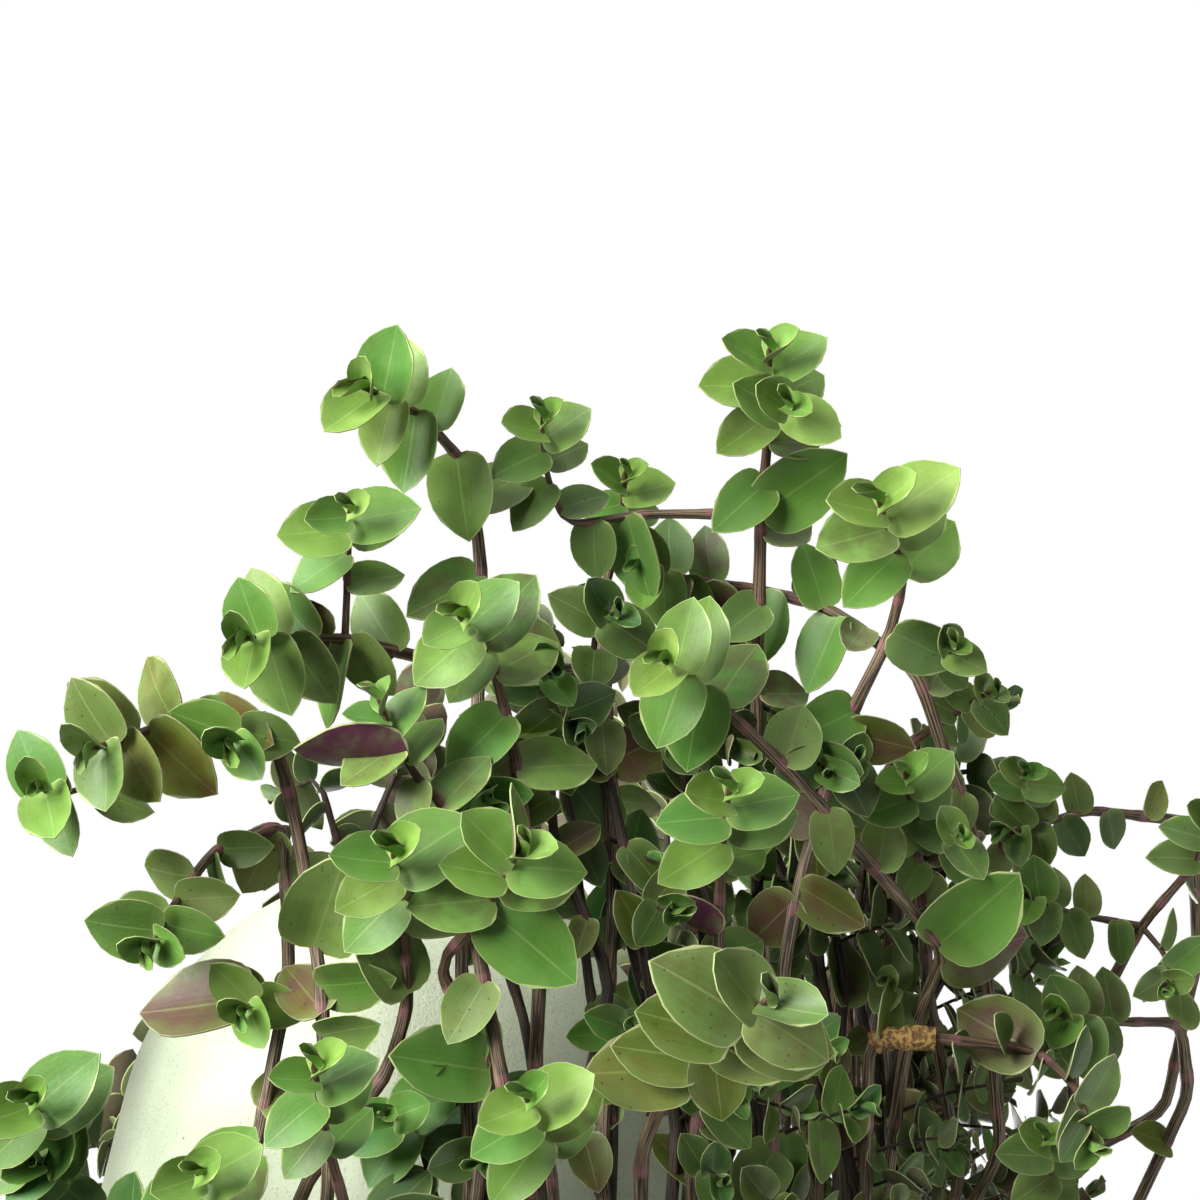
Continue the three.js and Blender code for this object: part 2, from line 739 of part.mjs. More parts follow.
// One leaf as a closed cupped blade, grown by margin on every side, tipped up by tilt.
function leafBlade({ base, reach, face, size }, tilt, margin) {
  const side = face.clone().cross(reach).normalize();
  const forward = reach.clone().applyAxisAngle(side, -tilt);
  const upper = face.clone().applyAxisAngle(side, -tilt);
  const geometry = new THREE.SphereGeometry(1, 2 * (LEAF_OUTLINE.length - 1), 2);
  const position = geometry.attributes.position;
  const grown = 1 + (2 * margin) / size;
  for (let at = 0; at < position.count; at += 1) {
    const height = position.getY(at);
    let share = LEAF_MIDDLE;
    let half = 0;
    let lift = (Math.sign(height) * (LEAF_THICKNESS + 2 * margin)) / 2;
    if (Math.abs(height) < 0.5) {
      const turn = Math.atan2(position.getZ(at), -position.getX(at));
      const step = Math.round((turn * (LEAF_OUTLINE.length - 1)) / Math.PI);
      const [outlineShare, outlineHalf] = LEAF_OUTLINE[Math.abs(step)];
      share = outlineShare * grown - margin / size;
      half = Math.sign(step) * outlineHalf * grown;
      lift = LEAF_CUP * size * (outlineHalf / 0.44) ** 2;
    }
    const point = base
      .clone()
      .addScaledVector(forward, share * size)
      .addScaledVector(side, half * size)
      .addScaledVector(upper, lift);
    position.setXYZ(at, point.x, point.y, point.z);
  }
  return toSolid(geometry);
}

function boxesMeet(one, other) {
  return one.min.every((low, axis) => low <= other.max[axis] && other.min[axis] <= one.max[axis]);
}

// Solids that are already placed, each with its owner's name, for the test that keeps pieces clear.
const placed = [];

function place(owner, solid) {
  placed.push({ owner, solid, box: solid.boundingBox() });
}

function isClear(solid, passes) {
  const box = solid.boundingBox();
  return placed.every((other) => {
    if (passes(other) || !boxesMeet(box, other.box)) {
      return true;
    }
    return solid.intersect(other.solid).isEmpty();
  });
}

// The stems of one leafy stem, fused, or null where the main stem would cross another piece. A side
// shoot that would cross one is left out.
const leafyStems = [];

function growStem(name, order, stem, shoots, plan) {
  const wanted = [
    { points: stem, toward: plan.toward, radius: MAIN_STEM, leaves: plan.leaves, leaf: plan.leaf },
    ...shoots.map(({ points, toward }) => ({
      points,
      toward,
      radius: SIDE_STEM,
      leaves: SHOOT_LEAVES,
      leaf: SHOOT_LEAF * plan.leaf,
    })),
  ];
  const passes = (other) => other.owner === name || other.owner === "soil";
  const grown = [];
  let solid = null;
  wanted.forEach((one, number) => {
    const guard = tube(one.points, one.radius + LEAF_CLEARANCE, STEM_SIDES);
    if ((number > 0 && solid === null) || !isClear(guard, passes)) {
      return;
    }
    const body = tube(one.points, one.radius, STEM_SIDES);
    place(name, body);
    grown.push({ ...one, body, key: order * 16 + number });
    solid = solid === null ? body : solid.add(body);
  });
  if (solid !== null) {
    leafyStems.push({ name, root: stem[0], grown, solid });
  }
  return solid !== null;
}

// Adds the leaves of one leafy stem. A leaf that would cross another piece is tipped clear, and left
// out where no tip clears it.
const LEAF_TILTS = [0, 0.22, -0.22, 0.45];

function growLeaves(leafy) {
  const stems = leafy.grown.map((one) => one.body);
  const passes = (other) => stems.includes(other.solid);
  for (const shoot of leafy.grown) {
    for (const spot of leafPlaces(shoot.points, shoot)) {
      const tilt = LEAF_TILTS.find((each) => isClear(leafBlade(spot, each, LEAF_CLEARANCE), passes));
      if (tilt !== undefined) {
        const blade = leafBlade(spot, tilt, 0);
        place(leafy.name, blade);
        leafy.solid = leafy.solid.add(blade);
      }
    }
  }
}

const COLOURS = {
  pot: { color: 0xc9d4bd, roughness: 0.85, metalness: 0 },
  soil: { color: 0x3a2a1e, roughness: 1, metalness: 0 },
  hanger: { color: 0xa9aba8, roughness: 0.4, metalness: 0.9 },
  vine: { color: 0x5d8a45, roughness: 0.45, metalness: 0 },
};

const group = new THREE.Group();

function addMesh(name, solid, colour) {
  const mesh = new THREE.Mesh(toGeometry(solid), new THREE.MeshStandardMaterial(COLOURS[colour]));
  mesh.name = name;
  group.add(mesh);
}

const potSolid = pot();
place("pot", potSolid);
addMesh("pot", potSolid, "pot");
const hook = hangerHook();
place("hanger_hook", hook);
addMesh("hanger_hook", hook, "hanger");
for (let wire = 0; wire < WIRE_COUNT; wire += 1) {
  const name = `hanger_wire_${wire + 1}`;
  const solid = hangerWire(wire);
  place(name, solid);
  addMesh(name, solid, "hanger");
}

let soilSolid = soil();
place("soil", soilSolid);

FRONT_STEMS.forEach((front, number) => {
  const name = `vine_front_${String(number + 1).padStart(2, "0")}`;
  const stem = [...overRim(front.azimuth, number), ...turnedForward(front.trail)];
  const shoots = front.shoots.map((shoot) => ({ points: turnedForward(shoot), toward: pictureClock(shoot) }));
  const plan = { leaves: FRONT_LEAVES, leaf: front.leaf, toward: pictureClock(front.trail) };
  if (!growStem(name, number, stem, shoots, plan)) {
    throw new Error(`${name} crosses another piece`);
  }
});

REST_STEMS.forEach(([azimuth, order], number) => {
  const name = `vine_rest_${String(number + 1).padStart(2, "0")}`;
  const leaf = REST_LEAF + REST_LEAF_PLAY * draw(order, 80);
  const plan = { leaves: REST_LEAVES, leaf, toward: turnedClock(azimuth, order * 16) };
  const trail = hangingTrail(azimuth, order);
  const stem = [...overRim(azimuth, number), ...trail];
  const sides = azimuth > LEFT_FROM ? [-1, 1] : [];
  const shoots = sides.map((side, at) => {
    const points = spray(azimuth, order, side, trail[at]);
    return { points, toward: turnedClock(azimuth, order * 16 + at + 1) };
  });
  if (!growStem(name, order, stem, shoots, plan)) {
    throw new Error(`${name} crosses another piece`);
  }
});

for (let number = 0; number < TUFT_COUNT; number += 1) {
  const order = TUFT_ORDER + number;
  const azimuth = (360 * number) / TUFT_COUNT + FIRST_TUFT_AZIMUTH;
  const { stem, shoots } = tuft(azimuth, number);
  const sides = shoots.map((points, side) => {
    return { points, toward: turnedClock(azimuth, order * 16 + side + 1) };
  });
  const plan = { leaves: TUFT_LEAVES, leaf: TUFT_LEAF, toward: turnedClock(azimuth, order * 16) };
  if (!growStem(`tuft_${number + 1}`, order, stem, sides, plan)) {
    throw new Error(`tuft ${number + 1} crosses another piece`);
  }
}

for (const leafy of leafyStems) {
  const { x, y, z } = leafy.root;
  const radius = MAIN_STEM + ROOT_PLAY;
  soilSolid = soilSolid.subtract(post(x, y, z - GAP, FOOT_Z + POT_HEIGHT, radius, STEM_SIDES));
  growLeaves(leafy);
  addMesh(leafy.name, leafy.solid, "vine");
}

addMesh("soil", soilSolid, "soil");

export default group;
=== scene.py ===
"""Dresses a hanging pot of turtle vine: a matt pot, soil, a steel hanger and the leafy stems.

Lengths in the lists and rules are in millimetres, in the frame's own axes, and each finished piece
is scaled to metres. The origin is the top of the hook's throat. The front is towards -Y.
"""

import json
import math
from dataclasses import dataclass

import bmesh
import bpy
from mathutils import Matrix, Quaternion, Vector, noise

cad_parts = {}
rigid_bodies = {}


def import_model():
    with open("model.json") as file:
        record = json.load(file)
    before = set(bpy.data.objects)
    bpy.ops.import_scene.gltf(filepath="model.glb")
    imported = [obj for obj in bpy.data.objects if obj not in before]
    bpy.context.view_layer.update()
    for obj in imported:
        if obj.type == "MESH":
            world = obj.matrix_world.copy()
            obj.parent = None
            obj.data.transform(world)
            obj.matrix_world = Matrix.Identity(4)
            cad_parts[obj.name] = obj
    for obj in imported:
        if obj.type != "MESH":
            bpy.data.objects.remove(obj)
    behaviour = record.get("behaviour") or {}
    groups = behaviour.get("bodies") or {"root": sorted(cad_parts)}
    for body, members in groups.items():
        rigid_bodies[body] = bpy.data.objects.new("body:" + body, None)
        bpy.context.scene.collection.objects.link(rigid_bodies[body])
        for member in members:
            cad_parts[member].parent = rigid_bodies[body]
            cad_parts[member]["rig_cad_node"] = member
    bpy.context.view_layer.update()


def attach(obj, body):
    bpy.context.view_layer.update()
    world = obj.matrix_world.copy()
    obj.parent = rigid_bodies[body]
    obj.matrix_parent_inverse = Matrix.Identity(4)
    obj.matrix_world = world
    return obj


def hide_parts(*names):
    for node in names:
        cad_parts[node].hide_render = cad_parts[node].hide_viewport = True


bl_info = {
    "name": "Turtle vine in a hanging pot",
    "version": (1, 0, 0),
    "blender": (4, 5, 0),
    "location": "3D View > Sidebar > Turtle vine",
    "description": "Makes the pot, soil, hanger, stems and leaves of a hanging turtle vine",
    "category": "Mesh",
}

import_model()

MM = 0.001
UP = Vector((0, 0, 1))

# The pot. Its heights are measured from the lowest point of its round bottom.
FOOT_Z = -400
POT_HEIGHT = 150
LIP_DEPTH = 4
POT_STEPS = 120
OUTER_ARC_STEPS = 20
INNER_ARC_STEPS = 16
DRAIN_HOLES = 4
DRAIN_CIRCLE = 15
DRAIN_RADIUS = 4
DRAIN_CUT = (-5, 12)
CUT_BEYOND = 1
POT_SOFT_EDGE = 0.7

# The soil. It and the ends of the wires keep a gap from the pot. Its top is uneven by waves of
# (height, how close they follow each other).
GAP = 0.3
SOIL_LEVEL = 136
SOIL_CROWN = 4
SOIL_STEPS = 96
SOIL_ARC_STEPS = 10
SOIL_RINGS = 15
SOIL_EDGE = 1
SOIL_WAVES = [(1.6, 0.11), (0.9, 0.37)]
CRUMB_COUNT = 260
CRUMBS_INSIDE = 5
LEAST_CRUMB = 0.35
CRUMB_LUMPS = 0.35
ROOT_DEPTH = 22

# The hanger. The hook's end is rounded in steps of (distance from the end, share of its radius).
HOOK_BEND = 13
HOOK_FROM = -58
HOOK_SWEEP = 270
HOOK_STEPS = 24
HOOK_SHANK = 4
HOOK_RINGS = 70
HOOK_SIDES = 20
HOOK_END = [(0.5, 0.86), (0, 0.45)]
HOOK_SOFT_EDGE = 0.4
WELD = 0.5
PLATE_TOP = -36
PLATE_THICKNESS = 3
PLATE_RADIUS = 15
PLATE_STEPS = 64
PLATE_HOLE_PLAY = 0.6
WIRE_COUNT = 3
WIRE_SIDES = 12
WIRE_CIRCLE_TOP = 10.5
WIRE_CIRCLE_RIM = 96.6
WIRE_HOLE_PLAY = 0.9
WIRE_BEAD = 3
BEAD_SEAT = 0.8 * WIRE_BEAD
WIRE_BEND_TOP = 4
WIRE_BEND_RIM = 10
FIRST_WIRE_AZIMUTH = 50

# The leafy stems. They thin towards their tips, and a node further back than BAND_FROM has a pink,
# slightly swollen band. The keys of a stem's shoots follow its own, so stems are STEM_KEYS apart.
STEM_KEYS = 16
STEM_SIDES = 8
STEM_RINGS = 4.0
THIN_SIDES = 6
THIN_RINGS = 5.0
INNER_RINGS = 6.0
MAIN_STEM = 1.5
SIDE_STEM = 1.1
THIN_TIP = 0.42
TAPER = 105
TIP_FORWARD = 6
BARE_ROOT = 34
BARE_SHOOT = 4
BAND_FROM = 22
BAND_RINGS = (-1.0, 0.2, 2.2, 4.2)
BAND_CENTRE = 1.2
BAND_WIDTH = 1.9
BAND_SWELL = 0.16
RING_GAP = 0.55
BARK_AGES_OVER = 110
BARK_AGE_SWAY = 0.3

# The leaves stand close together at a tip and wider apart behind it, in two ranks. Those of the
# rosette at the tip stay, and of those behind it a share has dropped: most beside the pot, fewer at
# its rim and under it. A leaf's base lies off the stem's middle by shares of the stem's radius.
SHOOT_LEAF = 0.85
LEAF_SCALE = 0.86
ROSETTE = 7
BASE_OUT = 1.05
BASE_IN = 0.35
FIRST_LEAF_BACK = 1.5
FIRST_LEAF_GAP = 2.3
LEAF_GAP_STEP = 0.15
LEAF_GAP_CURVE = 0.017
MOST_LEAF_GAP = 26
RANK_TURN = 186
RANK_SWAY = 12
TIP_SIZE = 0.5
SIZE_STEP = 0.17
SIZE_SWAY = 0.16
FEWEST_DROPPED = 0.25
MOST_DROPPED = 0.8
DROP_FROM = 5
DROP_OVER = 60
DROP_UP_TO = 104

# A leaf leans along its stem at the tip and away from it further back, in degrees, and turns its
# face outwards to the light. The light comes from outside a line that lies behind the pot's axis.
TIP_LEAN = 62
LEAN_STEP = 13
LEAST_LEAN = -12
LEAN_SWAY = 8
TIP_LIGHT = 0.12
LIGHT_STEP = 0.06
MOST_LIGHT = 0.6
LIGHT_SHIFT = 60

# The leaves of a rosette are as broad as their form, and those further back are narrower and older,
# a few of them purple.
WIDEST = 1.04
WIDTH_STEP = 0.03
NARROWEST = 0.82
WIDTH_SWAY = 0.08
AGE_STEP = 0.035
AGE_SWAY = 0.10
PURPLE_SPREAD = 1.6
PURPLE_OVER = 6

# Where the front of the plant is looked at from. A point of a front stem is (x, z, forward): x and z
# are read on the upright plane through the pot's axis, z from the pot's lowest point, and forward
# brings the point along its line of sight towards the viewer.
VIEW_DISTANCE = 650
VIEW_X = -48.75
VIEW_Z = -67.5
VIEW_HALF_WIDTH = 150
EYE = Vector((VIEW_X, -VIEW_DISTANCE, FOOT_Z + VIEW_Z))


@dataclass
class SideShoot:
    """A side stem that leaves a front stem's trail."""

    age: float
    trail: list


@dataclass
class FrontStem:
    """A stem that the photograph shows."""

    azimuth: float
    leaf: float
    age: float
    trail: list
    shoots: tuple = ()


# The front stems, from the rim down. Azimuth is where a stem crosses the rim, in degrees from the
# front, positive to the right. Leaf is the length of its larger leaves. Age runs from 0, young and
# bright, to 1, old and brown.
FRONT_STEMS = [
    FrontStem(azimuth=-64, leaf=18, age=0.25,
              trail=[(-88, 78, 58), (-88, 15, 55), (-88, -47, 58), (-89, -89, 66), (-91, -111, 72),
                     (-91, -131, 84)],
              shoots=[SideShoot(0.35, [(-89, -89, 66), (-59, -89, 72), (-40, -86, 78), (-35, -100, 84),
                                       (-34, -114, 92)]),
                      SideShoot(0.2, [(-91, -111, 72), (-95, -113, 80), (-96, -117, 90)])]),
    FrontStem(azimuth=-11, leaf=20, age=0.15,
              trail=[(-16, 70, 112), (-14, 23, 104), (-18, -32, 92), (-19, -77, 84), (-16, -100, 88),
                     (-4, -114, 100), (11, -121, 114)]),
    FrontStem(azimuth=-53, leaf=14, age=0.3,
              trail=[(-59, 32, 62), (-51, -27, 40), (-49, -67, 40), (-54, -85, 44), (-55, -100, 54)]),
    FrontStem(azimuth=-59, leaf=21.5, age=0.08,
              trail=[(-91, 78, 84), (-95, 22, 78), (-99, 2, 76), (-109, -34, 74), (-121, -58, 80),
                     (-125, -74, 90), (-118, -93, 108)]),
    FrontStem(azimuth=-103, leaf=12, age=0.5,
              trail=[(-124, 70, 10), (-119, 8, 14), (-116, -17, 20), (-125, -31, 30), (-137, -39, 44),
                     (-147, -45, 58)]),
    FrontStem(azimuth=-109, leaf=13, age=0.45,
              trail=[(-139, 57, 0), (-145, 15, 4), (-149, -5, 14), (-154, -17, 24), (-155, -25, 36)]),
    FrontStem(azimuth=-127, leaf=14, age=0.5,
              trail=[(-190, 60, -36), (-198, 22, -20), (-197, -12, 0), (-171, -15, 14), (-150, -9, 30)]),
    FrontStem(azimuth=-120, leaf=15, age=0.5,
              trail=[(-167, 82, -10), (-167, 46, 10), (-184, 14, 20), (-198, -2, 32), (-201, -14, 44)],
              shoots=[SideShoot(0.4, [(-184, 14, 20), (-167, 11, 30), (-154, 6, 42)]),
                      SideShoot(0.35, [(-184, 14, 20), (-191, 22, 27), (-190, 30, 38)])]),
    FrontStem(azimuth=-83, leaf=19, age=0.2,
              trail=[(-120, 82, 40), (-125, 45, 48), (-135, 20, 62), (-97, -24, 94), (-75, -45, 104),
                     (-64, -53, 119)]),
    FrontStem(azimuth=-88, leaf=15, age=0.35,
              trail=[(-149, 70, 40), (-143, -5, 52), (-128, -50, 62), (-105, -66, 56), (-89, -70, 50),
                     (-69, -73, 56), (-58, -76, 68)],
              shoots=[SideShoot(0.45, [(-128, -50, 62), (-134, -52, 70), (-137, -57, 80)])]),
    FrontStem(azimuth=-35, leaf=19, age=0.3,
              trail=[(-49, 78, 104), (-52, 8, 80), (-50, -38, 70), (-46, -50, 76), (-16, -50, 76),
                     (15, -58, 94), (29, -58, 104), (41, -58, 118)],
              shoots=[SideShoot(0.15, [(15, -58, 94), (14, -82, 98), (14, -91, 110)])]),
    FrontStem(azimuth=8, leaf=20, age=0.6,
              trail=[(19, 78, 118), (21, 28, 112), (26, -5, 101), (29, -20, 99), (35, -39, 101),
                     (48, -41, 106), (64, -35, 114), (79, -30, 128)],
              shoots=[SideShoot(0.35, [(64, -35, 114), (77, -22, 110), (87, -18, 112), (92, -21, 120)]),
                      SideShoot(0.35, [(35, -39, 101), (41, -36, 109), (44, -31, 118)])]),
    FrontStem(azimuth=-17, leaf=16, age=0.3,
              trail=[(-29, 78, 122), (-16, 8, 116), (-11, -15, 112), (-1, -25, 113), (7, -43, 114)]),
    FrontStem(azimuth=32, leaf=17, age=0.4,
              trail=[(39, 78, 104), (29, 28, 96), (30, -12, 86), (48, -5, 96), (58, 9, 106),
                     (64, 20, 118)],
              shoots=[SideShoot(0.35, [(29, 28, 96), (36, 30, 104), (41, 36, 114)])]),
    FrontStem(azimuth=15, leaf=20, age=0.3,
              trail=[(26, 80, 111), (4, 50, 110), (-1, 33, 112), (1, 8, 120), (3, -5, 134)]),
    FrontStem(azimuth=-4, leaf=19, age=0.15,
              trail=[(-18, 82, 119), (-21, 48, 113), (-8, 24, 116), (-21, 9, 126), (-29, -6, 138)]),
    FrontStem(azimuth=-29, leaf=19, age=0.25,
              trail=[(-39, 100, 112), (-36, 70, 124), (-30, 56, 142)]),
    FrontStem(azimuth=2, leaf=17, age=0.3,
              trail=[(12, 95, 125), (19, 70, 134), (23, 48, 147)]),
    FrontStem(azimuth=-41, leaf=24, age=0.6,
              trail=[(-59, 95, 108), (-59, 70, 116), (-66, 54, 122), (-77, 44, 131), (-91, 32, 148)]),
    FrontStem(azimuth=-47, leaf=17, age=0.3,
              trail=[(-71, 78, 96), (-78, 32, 93), (-79, -3, 99), (-81, -21, 115)]),
    FrontStem(azimuth=-93, leaf=15, age=0.3,
              trail=[(-139, 78, 20), (-131, 32, 34), (-128, -5, 56), (-125, -25, 77)],
              shoots=[SideShoot(0.55, [(-131, 32, 34), (-124, 32, 44), (-120, 28, 55)]),
                      SideShoot(0.4, [(-128, -5, 56), (-135, -6, 64), (-139, -9, 74)])]),
    FrontStem(azimuth=-23, leaf=19, age=0.12,
              trail=[(-31, 78, 108), (-34, 22, 103), (-27, -32, 99), (-21, -55, 104), (-13, -64, 119)]),
    FrontStem(azimuth=-114, leaf=15, age=0.45,
              trail=[(-180, 90, -4), (-196, 56, 16), (-194, 38, 22), (-174, 38, 36), (-163, 36, 50)]),
    FrontStem(azimuth=-98, leaf=15, age=0.5,
              trail=[(-150, 110, 20), (-162, 78, 44), (-160, 66, 58)]),
    FrontStem(azimuth=43, leaf=20, age=0.3,
              trail=[(84, 84, 84), (91, 65, 100), (94, 57, 112)]),
    FrontStem(azimuth=23, leaf=18, age=0.2,
              trail=[(47, 95, 106), (50, 81, 118), (52, 75, 130)]),
    FrontStem(azimuth=-77, leaf=16, age=0.4,
              trail=[(-115, 82, 60), (-116, 42, 62), (-132, 42, 66), (-158, 45, 64), (-168, 54, 68),
                     (-172, 68, 78)]),
]


@dataclass
class ChosenLeaf:
    """A leaf of a front stem whose place is given: base and tip are (x, z) as in the trails."""

    stem: int
    base: tuple
    tip: tuple
    age: float
    turn: float = 0
    forward: float = 0
    purple: float = 0


# Single leaves that stand out. Turn is round the leaf's length, 180 where its underside shows, and
# forward is how far its tip lies before its base.
CHOSEN_LEAVES = [
    ChosenLeaf(1, (-55.8, -89), (-61.3, -66.5), 0.42, turn=42),
    ChosenLeaf(1, (-89.5, -89.5), (-111, -103.5), 0.30, turn=15, forward=4),
    ChosenLeaf(3, (-50.5, -32.5), (-40, -24), 1.0, forward=4, purple=0.9),
    ChosenLeaf(3, (-51.5, -26.3), (-70.8, -36.3), 1.0, turn=20, purple=0.9),
    ChosenLeaf(3, (-59, 30), (-61.8, 11), 0.5, turn=75, purple=0.5),
    ChosenLeaf(3, (-58, 23), (-78.3, 30.5), 0.45, turn=15, forward=2),
    ChosenLeaf(3, (-58.5, 28), (-52, 40), 0.45, forward=-4),
    ChosenLeaf(4, (-102.5, -9.5), (-90.3, -20.5), 0.7, turn=180, purple=0.3),
    ChosenLeaf(4, (-109, -35), (-127.5, -29.5), 0.93, turn=25),
    ChosenLeaf(4, (-98, 4.5), (-115.3, 14), 0.93, turn=20, forward=3),
    ChosenLeaf(4, (-97.5, 5.8), (-85.8, 18.8), 1.0, forward=-8, purple=0.5),
    ChosenLeaf(4, (-121.8, -59), (-138.3, -51.5), 0.5, turn=20, forward=-6),
    ChosenLeaf(5, (-122.8, 56.3), (-130.3, 77), 1.0, forward=4, purple=0.8),
    ChosenLeaf(9, (-134.5, 18.5), (-154.3, 1), 0.33, turn=25, forward=14),
    ChosenLeaf(9, (-133.8, 22.5), (-156.3, 18), 0.97, turn=40, forward=-10),
    ChosenLeaf(10, (-70, -72.5), (-63.8, -57.5), 0.95, turn=50, purple=0.6),
    ChosenLeaf(10, (-74.3, -71.5), (-80.8, -49), 1.0, turn=10, forward=-10, purple=0.7),
    ChosenLeaf(10, (-89.3, -69.5), (-90.3, -51.5), 0.30, forward=3),
    ChosenLeaf(10, (-105.3, -66), (-100.3, -82.5), 0.30, turn=20),
    ChosenLeaf(10, (-109.3, -64.5), (-100, -44.3), 0.35, turn=35),
    ChosenLeaf(11, (14.5, -57.8), (20.3, -35.5), 0.40, turn=62),
    ChosenLeaf(11, (17.5, -59.5), (36.8, -63), 1.0, forward=-6, purple=0.8),
    ChosenLeaf(12, (22.5, 18.8), (14.8, -4.3), 0.52, forward=14),
    ChosenLeaf(12, (20.8, 28.8), (2, 28.3), 0.42, turn=35, forward=6, purple=0.2),
    ChosenLeaf(12, (20.8, 41), (5, 38), 0.42, turn=35, forward=6, purple=0.2),
    ChosenLeaf(13, (1.8, -27.5), (28, -31.3), 0.6, turn=125, forward=4, purple=1.0),
    ChosenLeaf(14, (30.5, -11.5), (40.5, 5.5), 0.68, forward=-4),
    ChosenLeaf(14, (47.8, -5), (45, 9.5), 0.5, turn=70),
    ChosenLeaf(14, (38.3, 30.5), (65, 36.5), 1.0, turn=35, forward=-8),
    ChosenLeaf(15, (-1, 30), (10.8, 8.8), 0.5, turn=20, forward=4),
    ChosenLeaf(16, (-27.8, -3), (-27.3, -22), 0.4, turn=75, purple=0.4),
    ChosenLeaf(16, (-20.5, 9.8), (-43, 28.5), 0.25, forward=2),
    ChosenLeaf(16, (-21, 50.5), (5.3, 46.5), 0.30, turn=10, forward=10),
    ChosenLeaf(19, (-73.8, 46.8), (-51, 44), 0.78, forward=4, purple=0.1),
    ChosenLeaf(19, (-76.5, 44.3), (-79.3, 63), 0.80, forward=-4),
    ChosenLeaf(20, (-78.8, 15), (-63.5, 6), 1.0, turn=125, purple=1.0),
    ChosenLeaf(27, (-115.3, 58.8), (-100.3, 67), 1.0, forward=-8, purple=0.8),
    ChosenLeaf(27, (-158.8, 45.3), (-137.5, 34.5), 0.96, forward=-14),
]

# The corky sheath round one stem, as (x, z) of its two ends.
SHEATH_STEM = 27
SHEATH_ENDS = [(-117, 42), (-132, 42)]
SHEATH_RADIUS = 2.5
SHEATH_STEPS = 14
SHEATH_SIDES = 14
SHEATH_SWAY = 0.16
SHEATH_FLARE = 0.12

# The stems that hang from the rest of the rim, as (azimuth, key of its draws).
REST_STEMS = [
    (57, 100), (68, 101), (79, 102), (90, 103), (101, 104), (112, 105), (123, 106), (134, 107),
    (145, 108), (155, 109), (164, 110), (176, 111), (186, 112), (196, 113), (206, 114), (216, 115),
    (226, 116), (236.5, 117), (243, 877), (248.5, 142), (254, 833), (264.5, 420), (269.5, 122),
]

# How low a tip may hang, as (azimuth, height).
LOWEST_TIPS = [
    (0, 55), (50, 40), (57, -60), (90, -60), (108, 100), (130, 112), (140, 78), (150, 40), (160, -10),
    (170, -37), (180, -58), (205, -55), (215, -40), (225, -15), (250, -5), (270, -25), (300, -70),
    (335, -60), (350, -20), (360, 55),
]


def draw(*keys):
    """A number from 0 to 1 that is fixed by its whole-number keys. The last key says what it is for."""
    mixed = 0x811C9DC5
    for key in keys:
        mixed = ((mixed ^ key) * 0x01000193) & 0xFFFFFFFF
        mixed ^= mixed >> 13
    mixed = (mixed * 0x85EBCA6B) & 0xFFFFFFFF
    mixed ^= mixed >> 16
    mixed = (mixed * 0xC2B2AE35) & 0xFFFFFFFF
    mixed ^= mixed >> 13
    return mixed / 4294967296


def sway(*keys):
    """A draw from -1 to 1."""
    return 2 * draw(*keys) - 1


@dataclass
class Play:
    """A size that is drawn anew for each stem: the least it can be, and how much more at most."""

    least: float
    more: float

    def drawn(self, *keys):
        return self.least + self.more * draw(*keys)


# The way of a trailing stem over the rim.
OUTER_ROOTS = 78
INNER_ROOTS = 69
LEFT_ROOTS = 60
LEFT_FROM = 230
ROOT_RISE = 6
RISE_OUT = 14
RIM_PASS_RADIUS = 109
RIM_PASS_RISE = 11
RIM_PASS_OVER = 6
RIM_PASS_OUT = 5
RIM_PASS_LOW = POT_HEIGHT - 14

# How a stem hangs by rule. HANGS gives how far out it reaches from an azimuth on, and its tuck under
# the pot.
HANGS = [(LEFT_FROM, Play(112, 6), 0), (150, Play(130, 18), 14), (0, Play(130, 18), 2)]
TRAIL_TOP = 100
TRAIL_STEP = 36
TRAIL_SWAY = 4
TRAIL_LEAN = 5
TIP_PLAY = 55
TIP_CEILING = 140
TIP_OUT = 4
TIP_CURL = 24
TIP_DROP = 4
TIP_LIFT = 10
REST_LEAF = Play(18, 4)
REST_AGE = Play(0.15, 0.4)

# The sprays of small shoots out of the hanging stems at the left.
SPRAY_TURN = Play(5, 9)
SPRAY_END = Play(152, 22)
SPRAY_DROP = Play(16, 44)

# The upright tufts in the middle of the pot.
TUFT_COUNT = 4
TUFT_ORDER = 200
FIRST_TUFT_AZIMUTH = 20
TUFT_MIDDLE = 6
TUFT_CIRCLE = 44
TUFT_HEIGHT = Play(POT_HEIGHT + 34, 16)
TUFT_SHOOT_HEIGHT = Play(POT_HEIGHT + 28, 8)
TUFT_LEAF = 20
TUFT_AGE = Play(0.1, 0.2)

# The inner stems that fill the plant behind the others. Their leaves and stems are darkened with painted
# shade. They differ by arcs
# of the rim, from one azimuth to another: fuller below the front, looser at the left, further out at
# the right, and few where the photograph shows none.
FILLER_COUNT = 96
FILLERS_A_PIECE = 12
FILLER_ORDER = 300
FILLER_PAINTED_SHADE = 0.68
FIRST_FILLER_AZIMUTH = -130
FRONT_ARC = (-112, -6)
LOOSE_ARC = (-115, -50)
RIGHT_ARC = (50, 150)
FEW_ARC = (12, 50)
FEW = 3
FRONT_PLAY, FRONT_TUCK = 75, 34
OTHER_PLAY, OTHER_TUCK = 60, 16
FILLER_TOP = 104
FILLER_STEP = 30
FILLER_REACH = Play(114, 10)
RIGHT_REACH = 14
FILLER_LEAN = 12
FILLER_TIP_OUT = 5
FILLER_TIP_CURL = 22
FILLER_TIP_DROP = 6
FILLER_TIP_LIFT = 14
